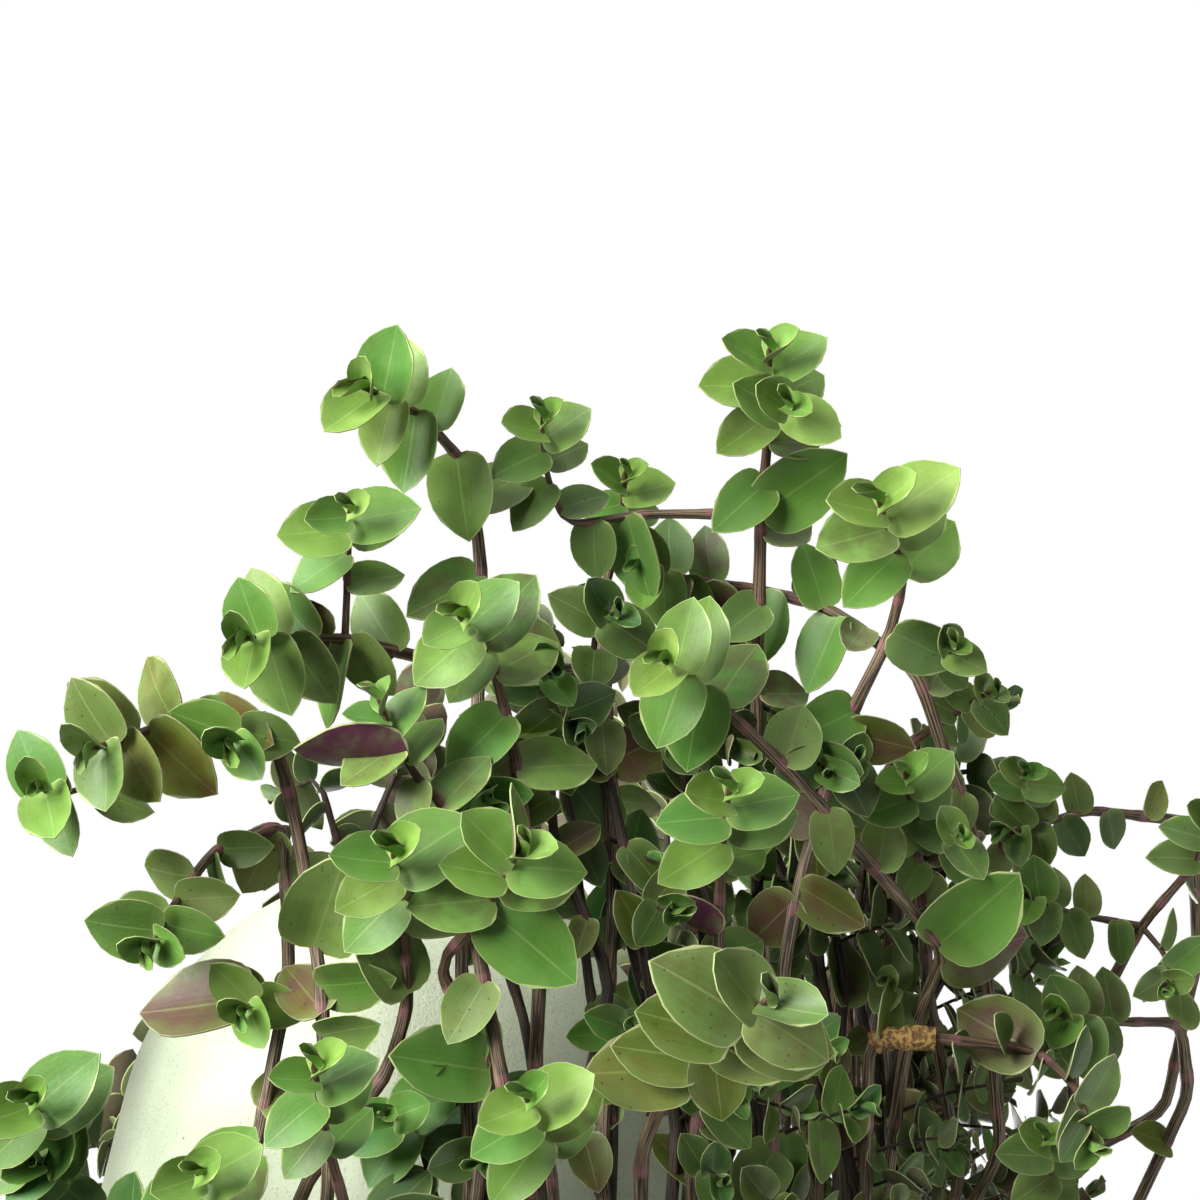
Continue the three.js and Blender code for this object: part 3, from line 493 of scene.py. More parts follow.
FILLER_SCATTER = 0.6
FILLER_RISE = 12
FILLER_TURN = 3
FILLER_STEM = Play(1.0, 0.5)
FILLER_LEAF = Play(13, 5)
FILLER_AGE = Play(0.2, 0.55)

# The thin stems with small leaves that reach far out at the left end of the plant.
FAR_COUNT = 12
FAR_ORDER = 600
FAR_FROM = -84
FAR_OVER = 50
FAR_TIP = Play(-40, 125)
FAR_REACH = Play(138, 46)
FAR_SHOULDER = Play(118, 8)
FAR_ELBOW = Play(126, 8)
FAR_ELBOW_RISE = 45
FAR_STEM = 1.0
FAR_LEAF = Play(11, 3)
FAR_SHOOT_LEAF = 12
FAR_AGE = Play(0.3, 0.35)
# The painted shade that darkens the leaves and stems of the far stems' short shoots.
FAR_PAINTED_SHADE = 0.2

# The short shoots out of the inner and the far stems.
TWIG_STEM = 0.8
TWIG_LEAF = 0.8
# A short shoot of an inner stem is darkened by this share of that stem's painted shade.
TWIG_PAINTED_SHADE = 0.7
TWIG_PLACE = Play(0.45, 0.35)
TWIG_LIFT = Play(-0.35, 0.7)
TWIG_REACH = Play(16, 14)
TWIG_SWAY = 40

# The short stems over the soil, set round the axis by the golden angle.
CROWN_COUNT = 62
CROWN_ORDER = 500
CROWN_TURN = 137.5
CROWN_RADIUS = 84
CROWN_HEIGHT = Play(POT_HEIGHT + 8, 22)
CROWN_SLOPE = 0.10
CROWN_SWAY = 25
CROWN_ROOT = 6
CROWN_BARE = 22
CROWN_STEM = 1.1
CROWN_LEAF = 19
CROWN_AGE = Play(0.1, 0.35)


def polar(radius, azimuth, height):
    """A point at a radius and azimuth round the pot's axis, with its height over the pot's lowest point."""
    angle = math.radians(azimuth)
    return Vector((radius * math.sin(angle), -radius * math.cos(angle), FOOT_Z + height))


def on_sight_line(point):
    x, z, forward = point
    left = 1 - forward / VIEW_DISTANCE
    return Vector((VIEW_X + (x - VIEW_X) * left, -forward, FOOT_Z + VIEW_Z + (z - VIEW_Z) * left))


def turned_forward(trail):
    """The points of a front stem, with its tip turned a little further towards the viewer."""
    x, z, forward = trail[-1]
    return [on_sight_line(point) for point in trail[:-1]] + [on_sight_line((x, z, forward + TIP_FORWARD))]


def nearest_on_sight_line(routes, point):
    """The (route, distance) whose place lies nearest to the line of sight through a picture point."""
    sight = (on_sight_line((*point, 0)) - EYE).normalized()
    best = None
    for route in routes:
        for step in range(int(route.length) + 1):
            arm = route.at(step)[0] - EYE
            gap = (arm - sight * arm.dot(sight)).length
            if best is None or gap < best[0]:
                best = (gap, route, step)
    return best[1:]


def wire_azimuth(wire):
    return FIRST_WIRE_AZIMUTH + 360 * wire / WIRE_COUNT


# Settings: the sizes and colours that a user would change.

def length(name, metres, description):
    return bpy.props.FloatProperty(
        name=name, description=description, default=metres, unit="LENGTH", precision=4)


def colour(name, value, description):
    return bpy.props.FloatVectorProperty(
        name=name, description=description, default=value, size=3, subtype="COLOR", min=0, max=1)


def share(name, value, description):
    return bpy.props.FloatProperty(
        name=name, description=description, default=value, min=0, max=1, subtype="FACTOR")


def strength(name, value, description):
    return bpy.props.FloatProperty(name=name, description=description, default=value, min=0)


class TurtleVinePotSettings(bpy.types.PropertyGroup):
    """Sizes and colours of the pot and its soil."""

    bottom_radius: length("Bottom radius", 0.071, "Radius of the pot's round bottom")
    wall_lean: bpy.props.FloatProperty(
        name="Wall lean", description="How far the wall leans outwards", default=math.radians(14),
        unit="ROTATION")
    wall: length("Wall", 0.0025, "Thickness of the pot's wall")
    foot_radius: length("Foot radius", 0.026, "Radius of the flat under the pot")
    lip_radius: length("Lip radius", 0.101, "Outer radius of the pot's lip")
    clay: colour("Pot", (0.66, 0.725, 0.53), "The pot's matt pale sage")
    clay_shade: colour("Pot shade", (0.52, 0.59, 0.42), "The darker sage in the pot's mottling")
    sand: colour("Sand", (0.36, 0.37, 0.28), "The fine sand grains in the pot's finish")
    soil: colour("Soil", (0.052, 0.031, 0.019), "The damp soil")
    soil_light: colour("Dry soil", (0.145, 0.095, 0.058), "The dry crumbs on the soil")
    crumb: length("Crumb", 0.0022, "Radius of the largest crumbs of soil")


class TurtleVineHangerSettings(bpy.types.PropertyGroup):
    """Sizes and colour of the hook, its plate and the three wires."""

    hook_radius: length("Hook radius", 0.002, "Radius of the hook's wire")
    wire_radius: length("Wire radius", 0.0011, "Radius of the three hanger wires")
    steel: colour("Steel", (0.56, 0.57, 0.55), "The brushed steel")
    steel_roughness: share("Steel roughness", 0.34, "How dull the steel is")


class TurtleVinePlantSettings(bpy.types.PropertyGroup):
    """Sizes and colours of the stems and leaves."""

    leaf_thickness: share("Leaf thickness", 0.022, "Thickness of a leaf as a share of its length")
    young: colour("Young leaf", (0.220, 0.355, 0.086), "The yellow-green of a young leaf")
    grown: colour("Grown leaf", (0.128, 0.270, 0.042), "The mid green of a grown leaf")
    ripe: colour("Ripe leaf", (0.127, 0.186, 0.060), "The grey-green of a leaf further back")
    old: colour("Old leaf", (0.115, 0.115, 0.014), "The olive of an old leaf")
    dying: colour("Dying leaf", (0.105, 0.052, 0.036), "The purple-brown of the oldest leaves")
    margin: colour("Margin", (0.50, 0.62, 0.22), "The thin pale edge of a leaf")
    under: colour("Underside", (0.125, 0.075, 0.055), "The brown-purple of a leaf's underside")
    under_purple: colour("Purple underside", (0.125, 0.035, 0.070), "The purple of a few undersides")
    bark_young: colour("Young stem", (0.160, 0.088, 0.050), "The red-brown of a young stem")
    bark_old: colour("Old stem", (0.300, 0.225, 0.130), "The olive-brown of an old stem")
    node_band: colour("Node band", (0.36, 0.13, 0.16), "The pink band at a stem's nodes")
    sheath: colour("Sheath", (0.47, 0.29, 0.085), "The corky sheath round one stem")
    leaf_roughness: share("Leaf roughness", 0.44, "How dull the leaves are")


class TurtleVineStageSettings(bpy.types.PropertyGroup):
    """The floor, the light and the camera."""

    floor: colour("Floor", (0.86, 0.86, 0.85), "The pale floor")
    floor_drop: length("Floor drop", 1.7, "How far the floor lies under the hook")
    floor_radius: length("Floor radius", 1.5, "Radius of the round floor")
    world_light: strength("Sky light", 0.16, "Strength of the even white light from all sides")
    key_power: strength("Key power", 102.0, "Power of the main soft light in watts")
    fill_power: strength("Fill power", 14.0, "Power of the weaker soft light at the left in watts")
    back_power: strength("Back power", 32.0, "Power of the soft light behind the plant in watts")
    light_size: length("Light size", 1.3, "Side of each square soft light")
    light_distance: length("Light distance", 2.0, "How far the soft lights stand from the plant")


SETTINGS = {
    "turtle_vine_pot": TurtleVinePotSettings,
    "turtle_vine_hanger": TurtleVineHangerSettings,
    "turtle_vine_plant": TurtleVinePlantSettings,
    "turtle_vine_stage": TurtleVineStageSettings,
}


def solid_colour(value):
    return (*value, 1)


# Materials, with the fixed colours that go with the settings' own

# The deep green of the painted shade that darkens patches of the leaves.
PAINTED_SHADE_GREEN = (0.050, 0.125, 0.003, 1)
LEAF_SPECK = (0.035, 0.030, 0.022, 1)
LEAF_BASE = (0.30, 0.42, 0.12, 1)
DRY_FELT = (0.30, 0.26, 0.22, 1)
AGED_MARGIN = (0.52, 0.38, 0.36, 1)
DARK_STRIPE = (0.040, 0.026, 0.014, 1)
LIGHT_STRIPE = (0.34, 0.29, 0.17, 1)
CORK_CRACK = (0.16, 0.085, 0.03, 1)
CLAY_SPECK = (0.10, 0.085, 0.05, 1)
DULL_STEEL = (0.30, 0.29, 0.27, 1)
FLOOR_SHADE = (0.80, 0.80, 0.79, 1)
WHITE = (1, 1, 1, 1)


class Shading:
    """A material's nodes, with short calls for the ones that the finishes are made of."""

    def __init__(self, name):
        self.material = bpy.data.materials.new(name)
        self.material.use_nodes = True
        self.tree = self.material.node_tree
        self.shader = self.tree.nodes["Principled BSDF"]

    def node(self, kind, inputs, **settings):
        made = self.tree.nodes.new(kind)
        for key, value in settings.items():
            setattr(made, key, value)
        for key, value in inputs.items():
            if isinstance(value, bpy.types.NodeSocket):
                self.tree.links.new(value, made.inputs[key])
            else:
                made.inputs[key].default_value = value
        return made

    def math(self, operation, one, other=0.0, clamp=False):
        made = self.node("ShaderNodeMath", {0: one, 1: other}, operation=operation, use_clamp=clamp)
        return made.outputs[0]

    def scaled(self, value, times):
        return self.math("MULTIPLY", value, times)

    def varied(self, value, times, start):
        """A value scaled and moved to its start."""
        return self.math("ADD", self.scaled(value, times), start)

    def without(self, value):
        """What is left of 1."""
        return self.math("SUBTRACT", 1.0, value)

    def between(self, value, low, high):
        """0 below low, 1 above high, and smooth between them."""
        made = self.node("ShaderNodeMapRange", {"Value": value, "From Min": low, "From Max": high},
                         interpolation_type="SMOOTHSTEP")
        return made.outputs["Result"]

    def mix(self, amount, one, other, blend="MIX"):
        made = self.node("ShaderNodeMix", {0: amount, 6: one, 7: other}, data_type="RGBA", blend_type=blend)
        return made.outputs[2]

    def noise(self, vector, scale, detail=3.0):
        made = self.node("ShaderNodeTexNoise", {"Vector": vector, "Scale": scale, "Detail": detail})
        return made.outputs["Fac"]

    def stretched(self, vector, scale):
        return self.node("ShaderNodeMapping", {"Vector": vector, "Scale": scale}).outputs["Vector"]

    def tuned(self, colour_socket, **values):
        """A colour with its hue or value turned."""
        made = self.node("ShaderNodeHueSaturation", {"Color": colour_socket, **values})
        return made.outputs["Color"]

    def dots(self, vector, scale):
        """Distance from the nearest of a field of scattered points."""
        return self.node("ShaderNodeTexVoronoi", {"Vector": vector, "Scale": scale}).outputs["Distance"]

    def object_place(self):
        return self.node("ShaderNodeTexCoord", {}).outputs["Object"]

    def attribute(self, name):
        return self.node("ShaderNodeAttribute", {}, attribute_name=name)

    def split(self, vector):
        made = self.node("ShaderNodeSeparateXYZ", {"Vector": vector})
        return made.outputs["X"], made.outputs["Y"], made.outputs["Z"]

    def bump(self, height, distance, strength=1.0):
        made = self.node("ShaderNodeBump", {"Height": height, "Distance": distance, "Strength": strength})
        self.tree.links.new(made.outputs["Normal"], self.shader.inputs["Normal"])

    def paint(self, colour_socket):
        self.tree.links.new(colour_socket, self.shader.inputs["Base Color"])

    def rough(self, socket):
        self.tree.links.new(socket, self.shader.inputs["Roughness"])

    def fixed(self, **values):
        for key, value in values.items():
            self.shader.inputs[key.replace("_", " ")].default_value = value


def leaf_finish(plant):
    """Green skin with patches of painted shade and painted light towards its sides, a pale edge and midrib,
    faint veins and dark specks, purple underneath.
    """
    skin = Shading("leaf_skin")
    tint = skin.attribute("tint")
    age, tone_and_shade, purple = skin.split(tint.outputs["Vector"])
    under = tint.outputs["Alpha"]
    along, across, edge = skin.split(skin.attribute("spot").outputs["Vector"])
    place = skin.object_place()
    mottle = skin.noise(place, 210.0)
    fine = skin.noise(place, 900.0, 2.0)
    margin = solid_colour(plant.margin)

    wander = skin.scaled(skin.math("SUBTRACT", mottle, 0.5), 0.30)
    ramp = skin.node("ShaderNodeValToRGB", {"Fac": skin.math("ADD", age, wander, clamp=True)})
    stops = [(0.0, plant.young), (0.3, plant.grown), (0.6, plant.ripe), (0.85, plant.old), (1.0, plant.dying)]
    while len(ramp.color_ramp.elements) < len(stops):
        ramp.color_ramp.elements.new(0.5)
    for element, (position, value) in zip(ramp.color_ramp.elements, stops):
        element.position = position
        element.color = solid_colour(value)
    # Each leaf's random tone, made darker by the painted shade of the stems inside the plant.
    value = skin.varied(tone_and_shade, 0.5, 0.78)
    hue = skin.varied(tone_and_shade, -0.045, 0.525)
    green = skin.tuned(ramp.outputs["Color"], Hue=hue, Value=value)

    # Painted shade: random patches of each leaf are darkened towards a deep green.
    painted_shade_patches = skin.noise(place, 75.0, 2.0)
    green = skin.mix(skin.scaled(skin.between(painted_shade_patches, 0.40, 0.62), 0.42), green, PAINTED_SHADE_GREEN)
    # Painted light: each leaf is lighter towards its sides, away from the midrib.
    off_rib = skin.math("ABSOLUTE", across)
    painted_edge_light = skin.scaled(skin.between(off_rib, 0.35, 1.0), 0.22)
    green = skin.mix(painted_edge_light, green, solid_colour(plant.young))
    blush = skin.math("MULTIPLY", purple, skin.between(mottle, 0.35, 0.62))
    green = skin.mix(blush, green, solid_colour(plant.dying))

    veins = skin.math("SINE", skin.scaled(across, 34.0))
    green = skin.mix(skin.scaled(skin.between(veins, 0.2, 1.0), 0.018), green, margin)
    rib = skin.without(skin.between(off_rib, 0.01, 0.045))
    green = skin.mix(skin.scaled(rib, 0.16), green, margin)

    specks = skin.without(skin.between(skin.dots(place, 620.0), 0.10, 0.22))
    sparse = skin.between(skin.noise(place, 330.0), 0.45, 0.60)
    speckled = skin.math("MULTIPLY", skin.math("MULTIPLY", specks, sparse), skin.between(age, 0.25, 0.60))
    green = skin.mix(skin.scaled(speckled, 0.75), green, LEAF_SPECK)
    base_glow = skin.without(skin.between(along, -0.05, 0.22))
    green = skin.mix(skin.scaled(base_glow, 0.40), green, LEAF_BASE)

    # The underside's brown shows less where painted shade lowers the tone.
    flesh = skin.mix(skin.varied(tone_and_shade, 0.55, 0.35), green, solid_colour(plant.under))
    flesh = skin.mix(skin.scaled(fine, 0.35), flesh, DRY_FELT)
    worn = skin.math("MULTIPLY", purple, skin.between(mottle, 0.25, 0.60))
    flesh = skin.mix(worn, flesh, solid_colour(plant.under_purple))

    rim = skin.scaled(skin.between(edge, 0.972, 0.998), 0.62)
    pale = skin.mix(skin.scaled(age, 0.5), margin, AGED_MARGIN)
    skin.paint(skin.mix(rim, skin.mix(under, green, flesh), pale))
    skin.rough(skin.varied(fine, 0.2, plant.leaf_roughness - 0.10))
    skin.bump(skin.math("ADD", skin.scaled(veins, 0.05), fine), 0.00012, 0.5)
    skin.fixed(Specular_IOR_Level=0.28)
    return skin.material


def bark_finish(plant):
    """Striped brown stem, redder when young, with pink bands at its nodes, darker by painted shade on the
    stems inside the plant.
    """
    bark = Shading("stem_bark")
    age, tone_and_shade, band = bark.split(bark.attribute("tint").outputs["Vector"])
    spot = bark.attribute("spot").outputs["Vector"]
    stripes = bark.noise(bark.stretched(spot, (3.2, 3.2, 0.055)), 1.6, 4.0)
    patches = bark.noise(bark.object_place(), 120.0)
    ageing = bark.math("ADD", age, bark.scaled(bark.math("SUBTRACT", patches, 0.5), 0.6), clamp=True)
    brown = bark.mix(ageing, solid_colour(plant.bark_young), solid_colour(plant.bark_old))
    brown = bark.mix(bark.between(stripes, 0.44, 0.58), DARK_STRIPE, brown)
    brown = bark.mix(bark.scaled(bark.between(stripes, 0.60, 0.74), 0.45), brown, LIGHT_STRIPE)
    brown = bark.mix(bark.scaled(bark.between(band, 0.45, 1.0), 0.6), brown, solid_colour(plant.node_band))
    # Painted shade: the bark is made darker by the stem's painted shade.
    bark.paint(bark.tuned(brown, Value=bark.math("ADD", 1.0, tone_and_shade, clamp=True)))
    bark.bump(stripes, 0.0006, 0.7)
    bark.fixed(Roughness=0.58)
    return bark.material


def sheath_finish(plant):
    """Corky sheath with rough brown cracks."""
    cork = Shading("corky_sheath")
    lumps = cork.noise(cork.object_place(), 900.0, 5.0)
    cork.paint(cork.mix(cork.between(lumps, 0.40, 0.60), CORK_CRACK, solid_colour(plant.sheath)))
    cork.bump(lumps, 0.0015)
    cork.fixed(Roughness=0.85)
    return cork.material


def clay_finish(settings):
    """Matt pale sage with a fine sandy grain and a few dark specks."""
    clay = Shading("sanded_clay")
    place = clay.object_place()
    mottle = clay.between(clay.noise(place, 26.0, 5.0), 0.35, 0.68)
    grain = clay.noise(place, 1500.0, 2.0)
    body = clay.mix(mottle, solid_colour(settings.clay), solid_colour(settings.clay_shade))
    body = clay.mix(clay.scaled(clay.between(grain, 0.56, 0.72), 0.55), body, solid_colour(settings.sand))
    specks = clay.without(clay.between(clay.dots(place, 230.0), 0.05, 0.12))
    chosen = clay.between(clay.noise(place, 90.0), 0.55, 0.65)
    clay.paint(clay.mix(clay.scaled(clay.math("MULTIPLY", specks, chosen), 0.8), body, CLAY_SPECK))
    clay.bump(grain, 0.0004, 0.55)
    clay.fixed(Roughness=0.86, Specular_IOR_Level=0.3)
    return clay.material


def soil_finish(settings):
    """Crumbly potting soil, lighter where it is dry."""
    earth = Shading("potting_soil")
    place = earth.object_place()
    lumps = earth.noise(place, 160.0, 6.0)
    dry = earth.between(lumps, 0.42, 0.70)
    earth.paint(earth.mix(dry, solid_colour(settings.soil), solid_colour(settings.soil_light)))
    earth.bump(earth.math("ADD", lumps, earth.scaled(earth.dots(place, 420.0), 0.5)), 0.002, 0.9)
    earth.fixed(Roughness=0.95)
    return earth.material


def steel_finish(hanger):
    """Brushed steel with fine scratches and dull patches."""
    steel = Shading("brushed_steel")
    place = steel.object_place()
    scratches = steel.noise(steel.stretched(place, (1, 1, 0.08)), 2600.0, 2.0)
    dullness = steel.scaled(steel.noise(place, 240.0), 0.35)
    steel.paint(steel.mix(dullness, solid_colour(hanger.steel), DULL_STEEL))
    steel.rough(steel.varied(scratches, 0.25, hanger.steel_roughness - 0.1))
    steel.bump(scratches, 0.00005, 0.5)
    steel.fixed(Metallic=1.0)
    return steel.material


def floor_finish(settings):
    floor = Shading("pale_floor")
    patches = floor.scaled(floor.noise(floor.object_place(), 14.0), 0.3)
    floor.paint(floor.mix(patches, solid_colour(settings.floor), FLOOR_SHADE))
    floor.fixed(Roughness=0.8, Emission_Color=WHITE, Emission_Strength=0.3)
    return floor.material


# Modelling in millimetres

def as_mesh(name, bm, materials=()):
    """Turns a model into a mesh, still in millimetres."""
    mesh = bpy.data.meshes.new(name)
    bm.to_mesh(mesh)
    bm.free()
    for material in materials:
        mesh.materials.append(material)
    return mesh


def to_piece(name, bm, materials, slot, *nodes):
    """Scales a model to metres and makes it a piece of the part that stands for the given nodes."""
    bmesh.ops.scale(bm, vec=(MM, MM, MM), verts=bm.verts)
    piece = bpy.data.objects.new(name, as_mesh(name, bm, materials))
    bpy.context.scene.collection.objects.link(piece)
    if nodes:
        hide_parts(*nodes)
    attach(piece, "root")
    return piece


SHARP_FROM = math.radians(50)


def shade_smooth(bm):
    """Smooth faces, with the edges that turn more than an angle left sharp."""
    for face in bm.faces:
        face.smooth = True
    for edge in bm.edges:
        if len(edge.link_faces) == 2 and edge.calc_face_angle(0) > SHARP_FROM:
            edge.smooth = False


def soften_edges(piece, width):
    """Rounds the sharp edges of a finished piece."""
    bevel = piece.modifiers.new("soft_edges", "BEVEL")
    bevel.width = width * MM
    bevel.segments = 2
    bevel.limit_method = "ANGLE"
    bevel.angle_limit = SHARP_FROM


def take_in(bm, part):
    """Adds a finished part to a model."""
    mesh = as_mesh("part", part)
    bm.from_mesh(mesh)
    bpy.data.meshes.remove(mesh)


def revolve(profile, steps):
    """A closed body turned round the pot's axis from (radius, height) pairs."""
    bm = bmesh.new()
    line = [bm.verts.new((radius, 0, FOOT_Z + height)) for radius, height in profile]
    for one, other in zip(line, line[1:]):
        bm.edges.new((one, other))
    bmesh.ops.spin(bm, geom=bm.verts[:] + bm.edges[:], cent=(0, 0, 0), axis=UP, angle=math.tau,
                   steps=steps, use_merge=True)
    bmesh.ops.remove_doubles(bm, verts=bm.verts, dist=0.01)
    bmesh.ops.recalc_face_normals(bm, faces=bm.faces)
    return bm


def cut(bm, cutters):
    """Cuts other models out of a model."""
    objects = [bpy.data.objects.new("cut_body", as_mesh("cut_body", bm))]
    bpy.context.scene.collection.objects.link(objects[0])
    for cutter in cutters:
        other = bpy.data.objects.new("cutter", as_mesh("cutter", cutter))
        bpy.context.scene.collection.objects.link(other)
        objects.append(other)
        modifier = objects[0].modifiers.new("cut", "BOOLEAN")
        modifier.operation = "DIFFERENCE"
        modifier.solver = "EXACT"
        modifier.object = other
    graph = bpy.context.evaluated_depsgraph_get()
    result = bmesh.new()
    result.from_mesh(objects[0].evaluated_get(graph).to_mesh())
    for each in objects:
        mesh = each.data
        bpy.data.objects.remove(each)
        bpy.data.meshes.remove(mesh)
    if not result.faces:
        raise RuntimeError("the cut left nothing")
    return result


def post(x, y, low, high, radius, segments=24):
    """An upright cylinder between two heights from the origin."""
    bm = bmesh.new()
    bmesh.ops.create_cone(bm, cap_ends=True, segments=segments, radius1=radius, radius2=radius,
                          depth=high - low, matrix=Matrix.Translation((x, y, (low + high) / 2)))
    return bm


def add_ball(bm, centre, radius, rings=12):
    bmesh.ops.create_uvsphere(bm, u_segments=2 * rings, v_segments=rings, radius=radius,
                              matrix=Matrix.Translation(centre))


class Route:
    """A line through given points with its corners rounded, measured from its first point."""

    CORNER = 5.0
    ARC_STEPS = 4

    def __init__(self, points):
        self.line = [points[0].copy()]
        for before, corner, after in zip(points, points[1:], points[2:]):
            back, ahead = before - corner, after - corner
            reach = min(self.CORNER, 0.48 * back.length, 0.48 * ahead.length)
            start = corner + back.normalized() * reach
            end = corner + ahead.normalized() * reach
            for step in range(self.ARC_STEPS + 1):
                part = step / self.ARC_STEPS
                self.line.append(start * (1 - part) ** 2 + corner * (2 * part * (1 - part)) + end * part ** 2)
        self.line.append(points[-1].copy())
        self.marks = [0.0]
        for one, other in zip(self.line, self.line[1:]):
            self.marks.append(self.marks[-1] + (other - one).length)
        self.length = self.marks[-1]

    def at(self, distance):
        """The place at a distance from the root, and the direction of growth there."""
        for number in range(1, len(self.marks)):
            if distance <= self.marks[number] or number == len(self.marks) - 1:
                step = self.line[number] - self.line[number - 1]
                run = self.marks[number] - self.marks[number - 1]
                part = (distance - self.marks[number - 1]) / max(run, 1e-6)
                return self.line[number - 1] + step * part, step.normalized()
        raise ValueError("a route needs at least two points")


def ring_matrix(place, turn, radius):
    """Where a ring of radius 1 goes."""
    return Matrix.Translation(place) @ turn.to_matrix().to_4x4() @ Matrix.Diagonal((radius,) * 3 + (1,))


def add_tube(bm, route, stations, segments, marks=None):
    """Adds a tube along a route. A station is (distance, radius), and marks gives each ring's tint."""
    spot = bm.verts.layers.float_vector.get("spot")
    tint = bm.verts.layers.float_color.get("tint")
    start, radius = stations[0]
    place, growth = route.at(start)
    turn = growth.to_track_quat("Z", "Y")
    now = ring_matrix(place, turn, radius)
    ring = bmesh.ops.create_circle(bm, cap_ends=False, radius=1, segments=segments)["verts"]
    if spot is not None:
        for vert in ring:
            vert[spot] = (vert.co.x, vert.co.y, start)
    bmesh.ops.transform(bm, matrix=now, verts=ring)
    edges = list({edge for vert in ring for edge in vert.link_edges})
    first_edges = edges
    for number, (distance, radius) in enumerate(stations):
        if number > 0:
            place, new_growth = route.at(distance)
            turn = growth.rotation_difference(new_growth) @ turn
            growth = new_growth
            after = ring_matrix(place, turn, radius)
            made = bmesh.ops.extrude_edge_only(bm, edges=edges)["geom"]
            ring = [item for item in made if isinstance(item, bmesh.types.BMVert)]
            edges = [item for item in made if isinstance(item, bmesh.types.BMEdge)]
            bmesh.ops.transform(bm, matrix=after @ now.inverted(), verts=ring)
            now = after
        for vert in ring:
            if spot is not None:
                vert[spot] = (vert[spot].x, vert[spot].y, distance)
            if tint is not None and marks is not None:
                vert[tint] = marks[number]
    bmesh.ops.contextual_create(bm, geom=first_edges)
    bmesh.ops.contextual_create(bm, geom=edges)


# Leaves

# Half of a leaf's outline from the middle of its base to its pointed tip, as shares of its length.
LEAF_OUTLINE = [(0.0, 0.0), (-0.02, 0.14), (0.02, 0.285), (0.13, 0.39), (0.32, 0.44), (0.54, 0.425),
                (0.74, 0.33), (0.895, 0.165), (1.0, 0.0)]
LAST_STEP = len(LEAF_OUTLINE) - 1
LEAF_CENTRE = 0.38
LEAF_LONG = 6
LEAF_WIDE = 4
WIDTH_STEPS = 48
LEAST_HALF_WIDTH = 0.03

# How the leaves are shaped, from the tip of a shoot back, as (roll across, fold at the midrib, droop
# of the tip) in shares of the length. The open forms are those of leaves behind the tip.
LEAF_FORMS = [
    (6.2, 0.0, -0.05), (3.0, 0.0, -0.16), (1.8, 0.0, -0.10), (1.0, 0.0, 0.03), (0.6, 0.05, 0.10),
    (1.3, 0.0, -0.05), (0.3, 0.06, 0.22),
]
OPEN_FROM = 3
OPEN_FORMS = range(OPEN_FROM, len(LEAF_FORMS))


def outline_point(step):
    """A point of the outline at a step from 0 to LAST_STEP, on a smooth line through its points."""
    low = min(int(step), LAST_STEP - 1)
    part = step - low
    nearby = [Vector(LEAF_OUTLINE[min(max(low + shift, 0), LAST_STEP)]) for shift in (-1, 0, 1, 2)]
    before, one, other, after = nearby
    if low == 0:
        before = Vector((other.x, -other.y))
    if low == LAST_STEP - 1:
        return one.lerp(other, part)
    return 0.5 * (2 * one + (other - before) * part + (2 * before - 5 * one + 4 * other - after) * part ** 2
                  + (3 * one - before - 3 * other + after) * part ** 3)


def half_width(along):
    """The leaf's half width at a share of its length."""
    sides = [outline_point(2 + (LAST_STEP - 2) * number / WIDTH_STEPS) for number in range(WIDTH_STEPS + 1)]
    for one, other in zip(sides, sides[1:]):
        if other.x >= along:
            part = (along - one.x) / max(other.x - one.x, 1e-6)
            return max(one.y + (other.y - one.y) * max(part, 0), LEAST_HALF_WIDTH)
    return LEAST_HALF_WIDTH


def rim_step(u, v):
    """The step of the outline that a point of the square grid lies towards."""
    ring = max(abs(u), abs(v))
    if ring == 0:
        return 0.0
    if abs(v) >= abs(u):
        return 4 + 2 * u / ring
    if u < 0:
        return 2 * abs(v) / ring
    return LAST_STEP - 2 * abs(v) / ring


def leaf_mesh(name, form, thickness):
    """A leaf of length 1 that grows along +X from its base at the origin, with its face up."""
    roll, fold, droop = form
    bm = bmesh.new()
    spot = bm.verts.layers.float_vector.new("spot")
    tint = bm.verts.layers.float_color.new("tint")
    bmesh.ops.create_grid(bm, x_segments=LEAF_LONG, y_segments=LEAF_WIDE, size=1)
    for vert in bm.verts:
        u, v = vert.co.x, vert.co.y
        ring = max(abs(u), abs(v))
        rim = outline_point(rim_step(u, v))
        x = LEAF_CENTRE + ring * (rim.x - LEAF_CENTRE)
        y = math.copysign(ring * rim.y, v) if v else 0.0
        vert[spot] = (x, y / half_width(min(max(x, 0.0), 0.99)), ring)
        curl = roll * (1.25 - 0.5 * x)
        turn = curl * y
        lift = (1 - math.cos(turn)) / curl + fold * abs(y) - droop * x * abs(x)
        vert.co = (x, math.sin(turn) / curl, lift)
    upper = set(bm.verts)
    bmesh.ops.solidify(bm, geom=bm.faces[:], thickness=thickness)
    bmesh.ops.recalc_face_normals(bm, faces=bm.faces)
    for vert in bm.verts:
        vert[tint] = (0, 0, 0, 0 if vert in upper else 1)
    for face in bm.faces:
        face.smooth = True
    for edge in bm.edges:
        on_rim = [face for face in edge.link_faces if len({vert in upper for vert in face.verts}) == 2]
        edge.smooth = len(on_rim) != 1
    return as_mesh(name, bm)


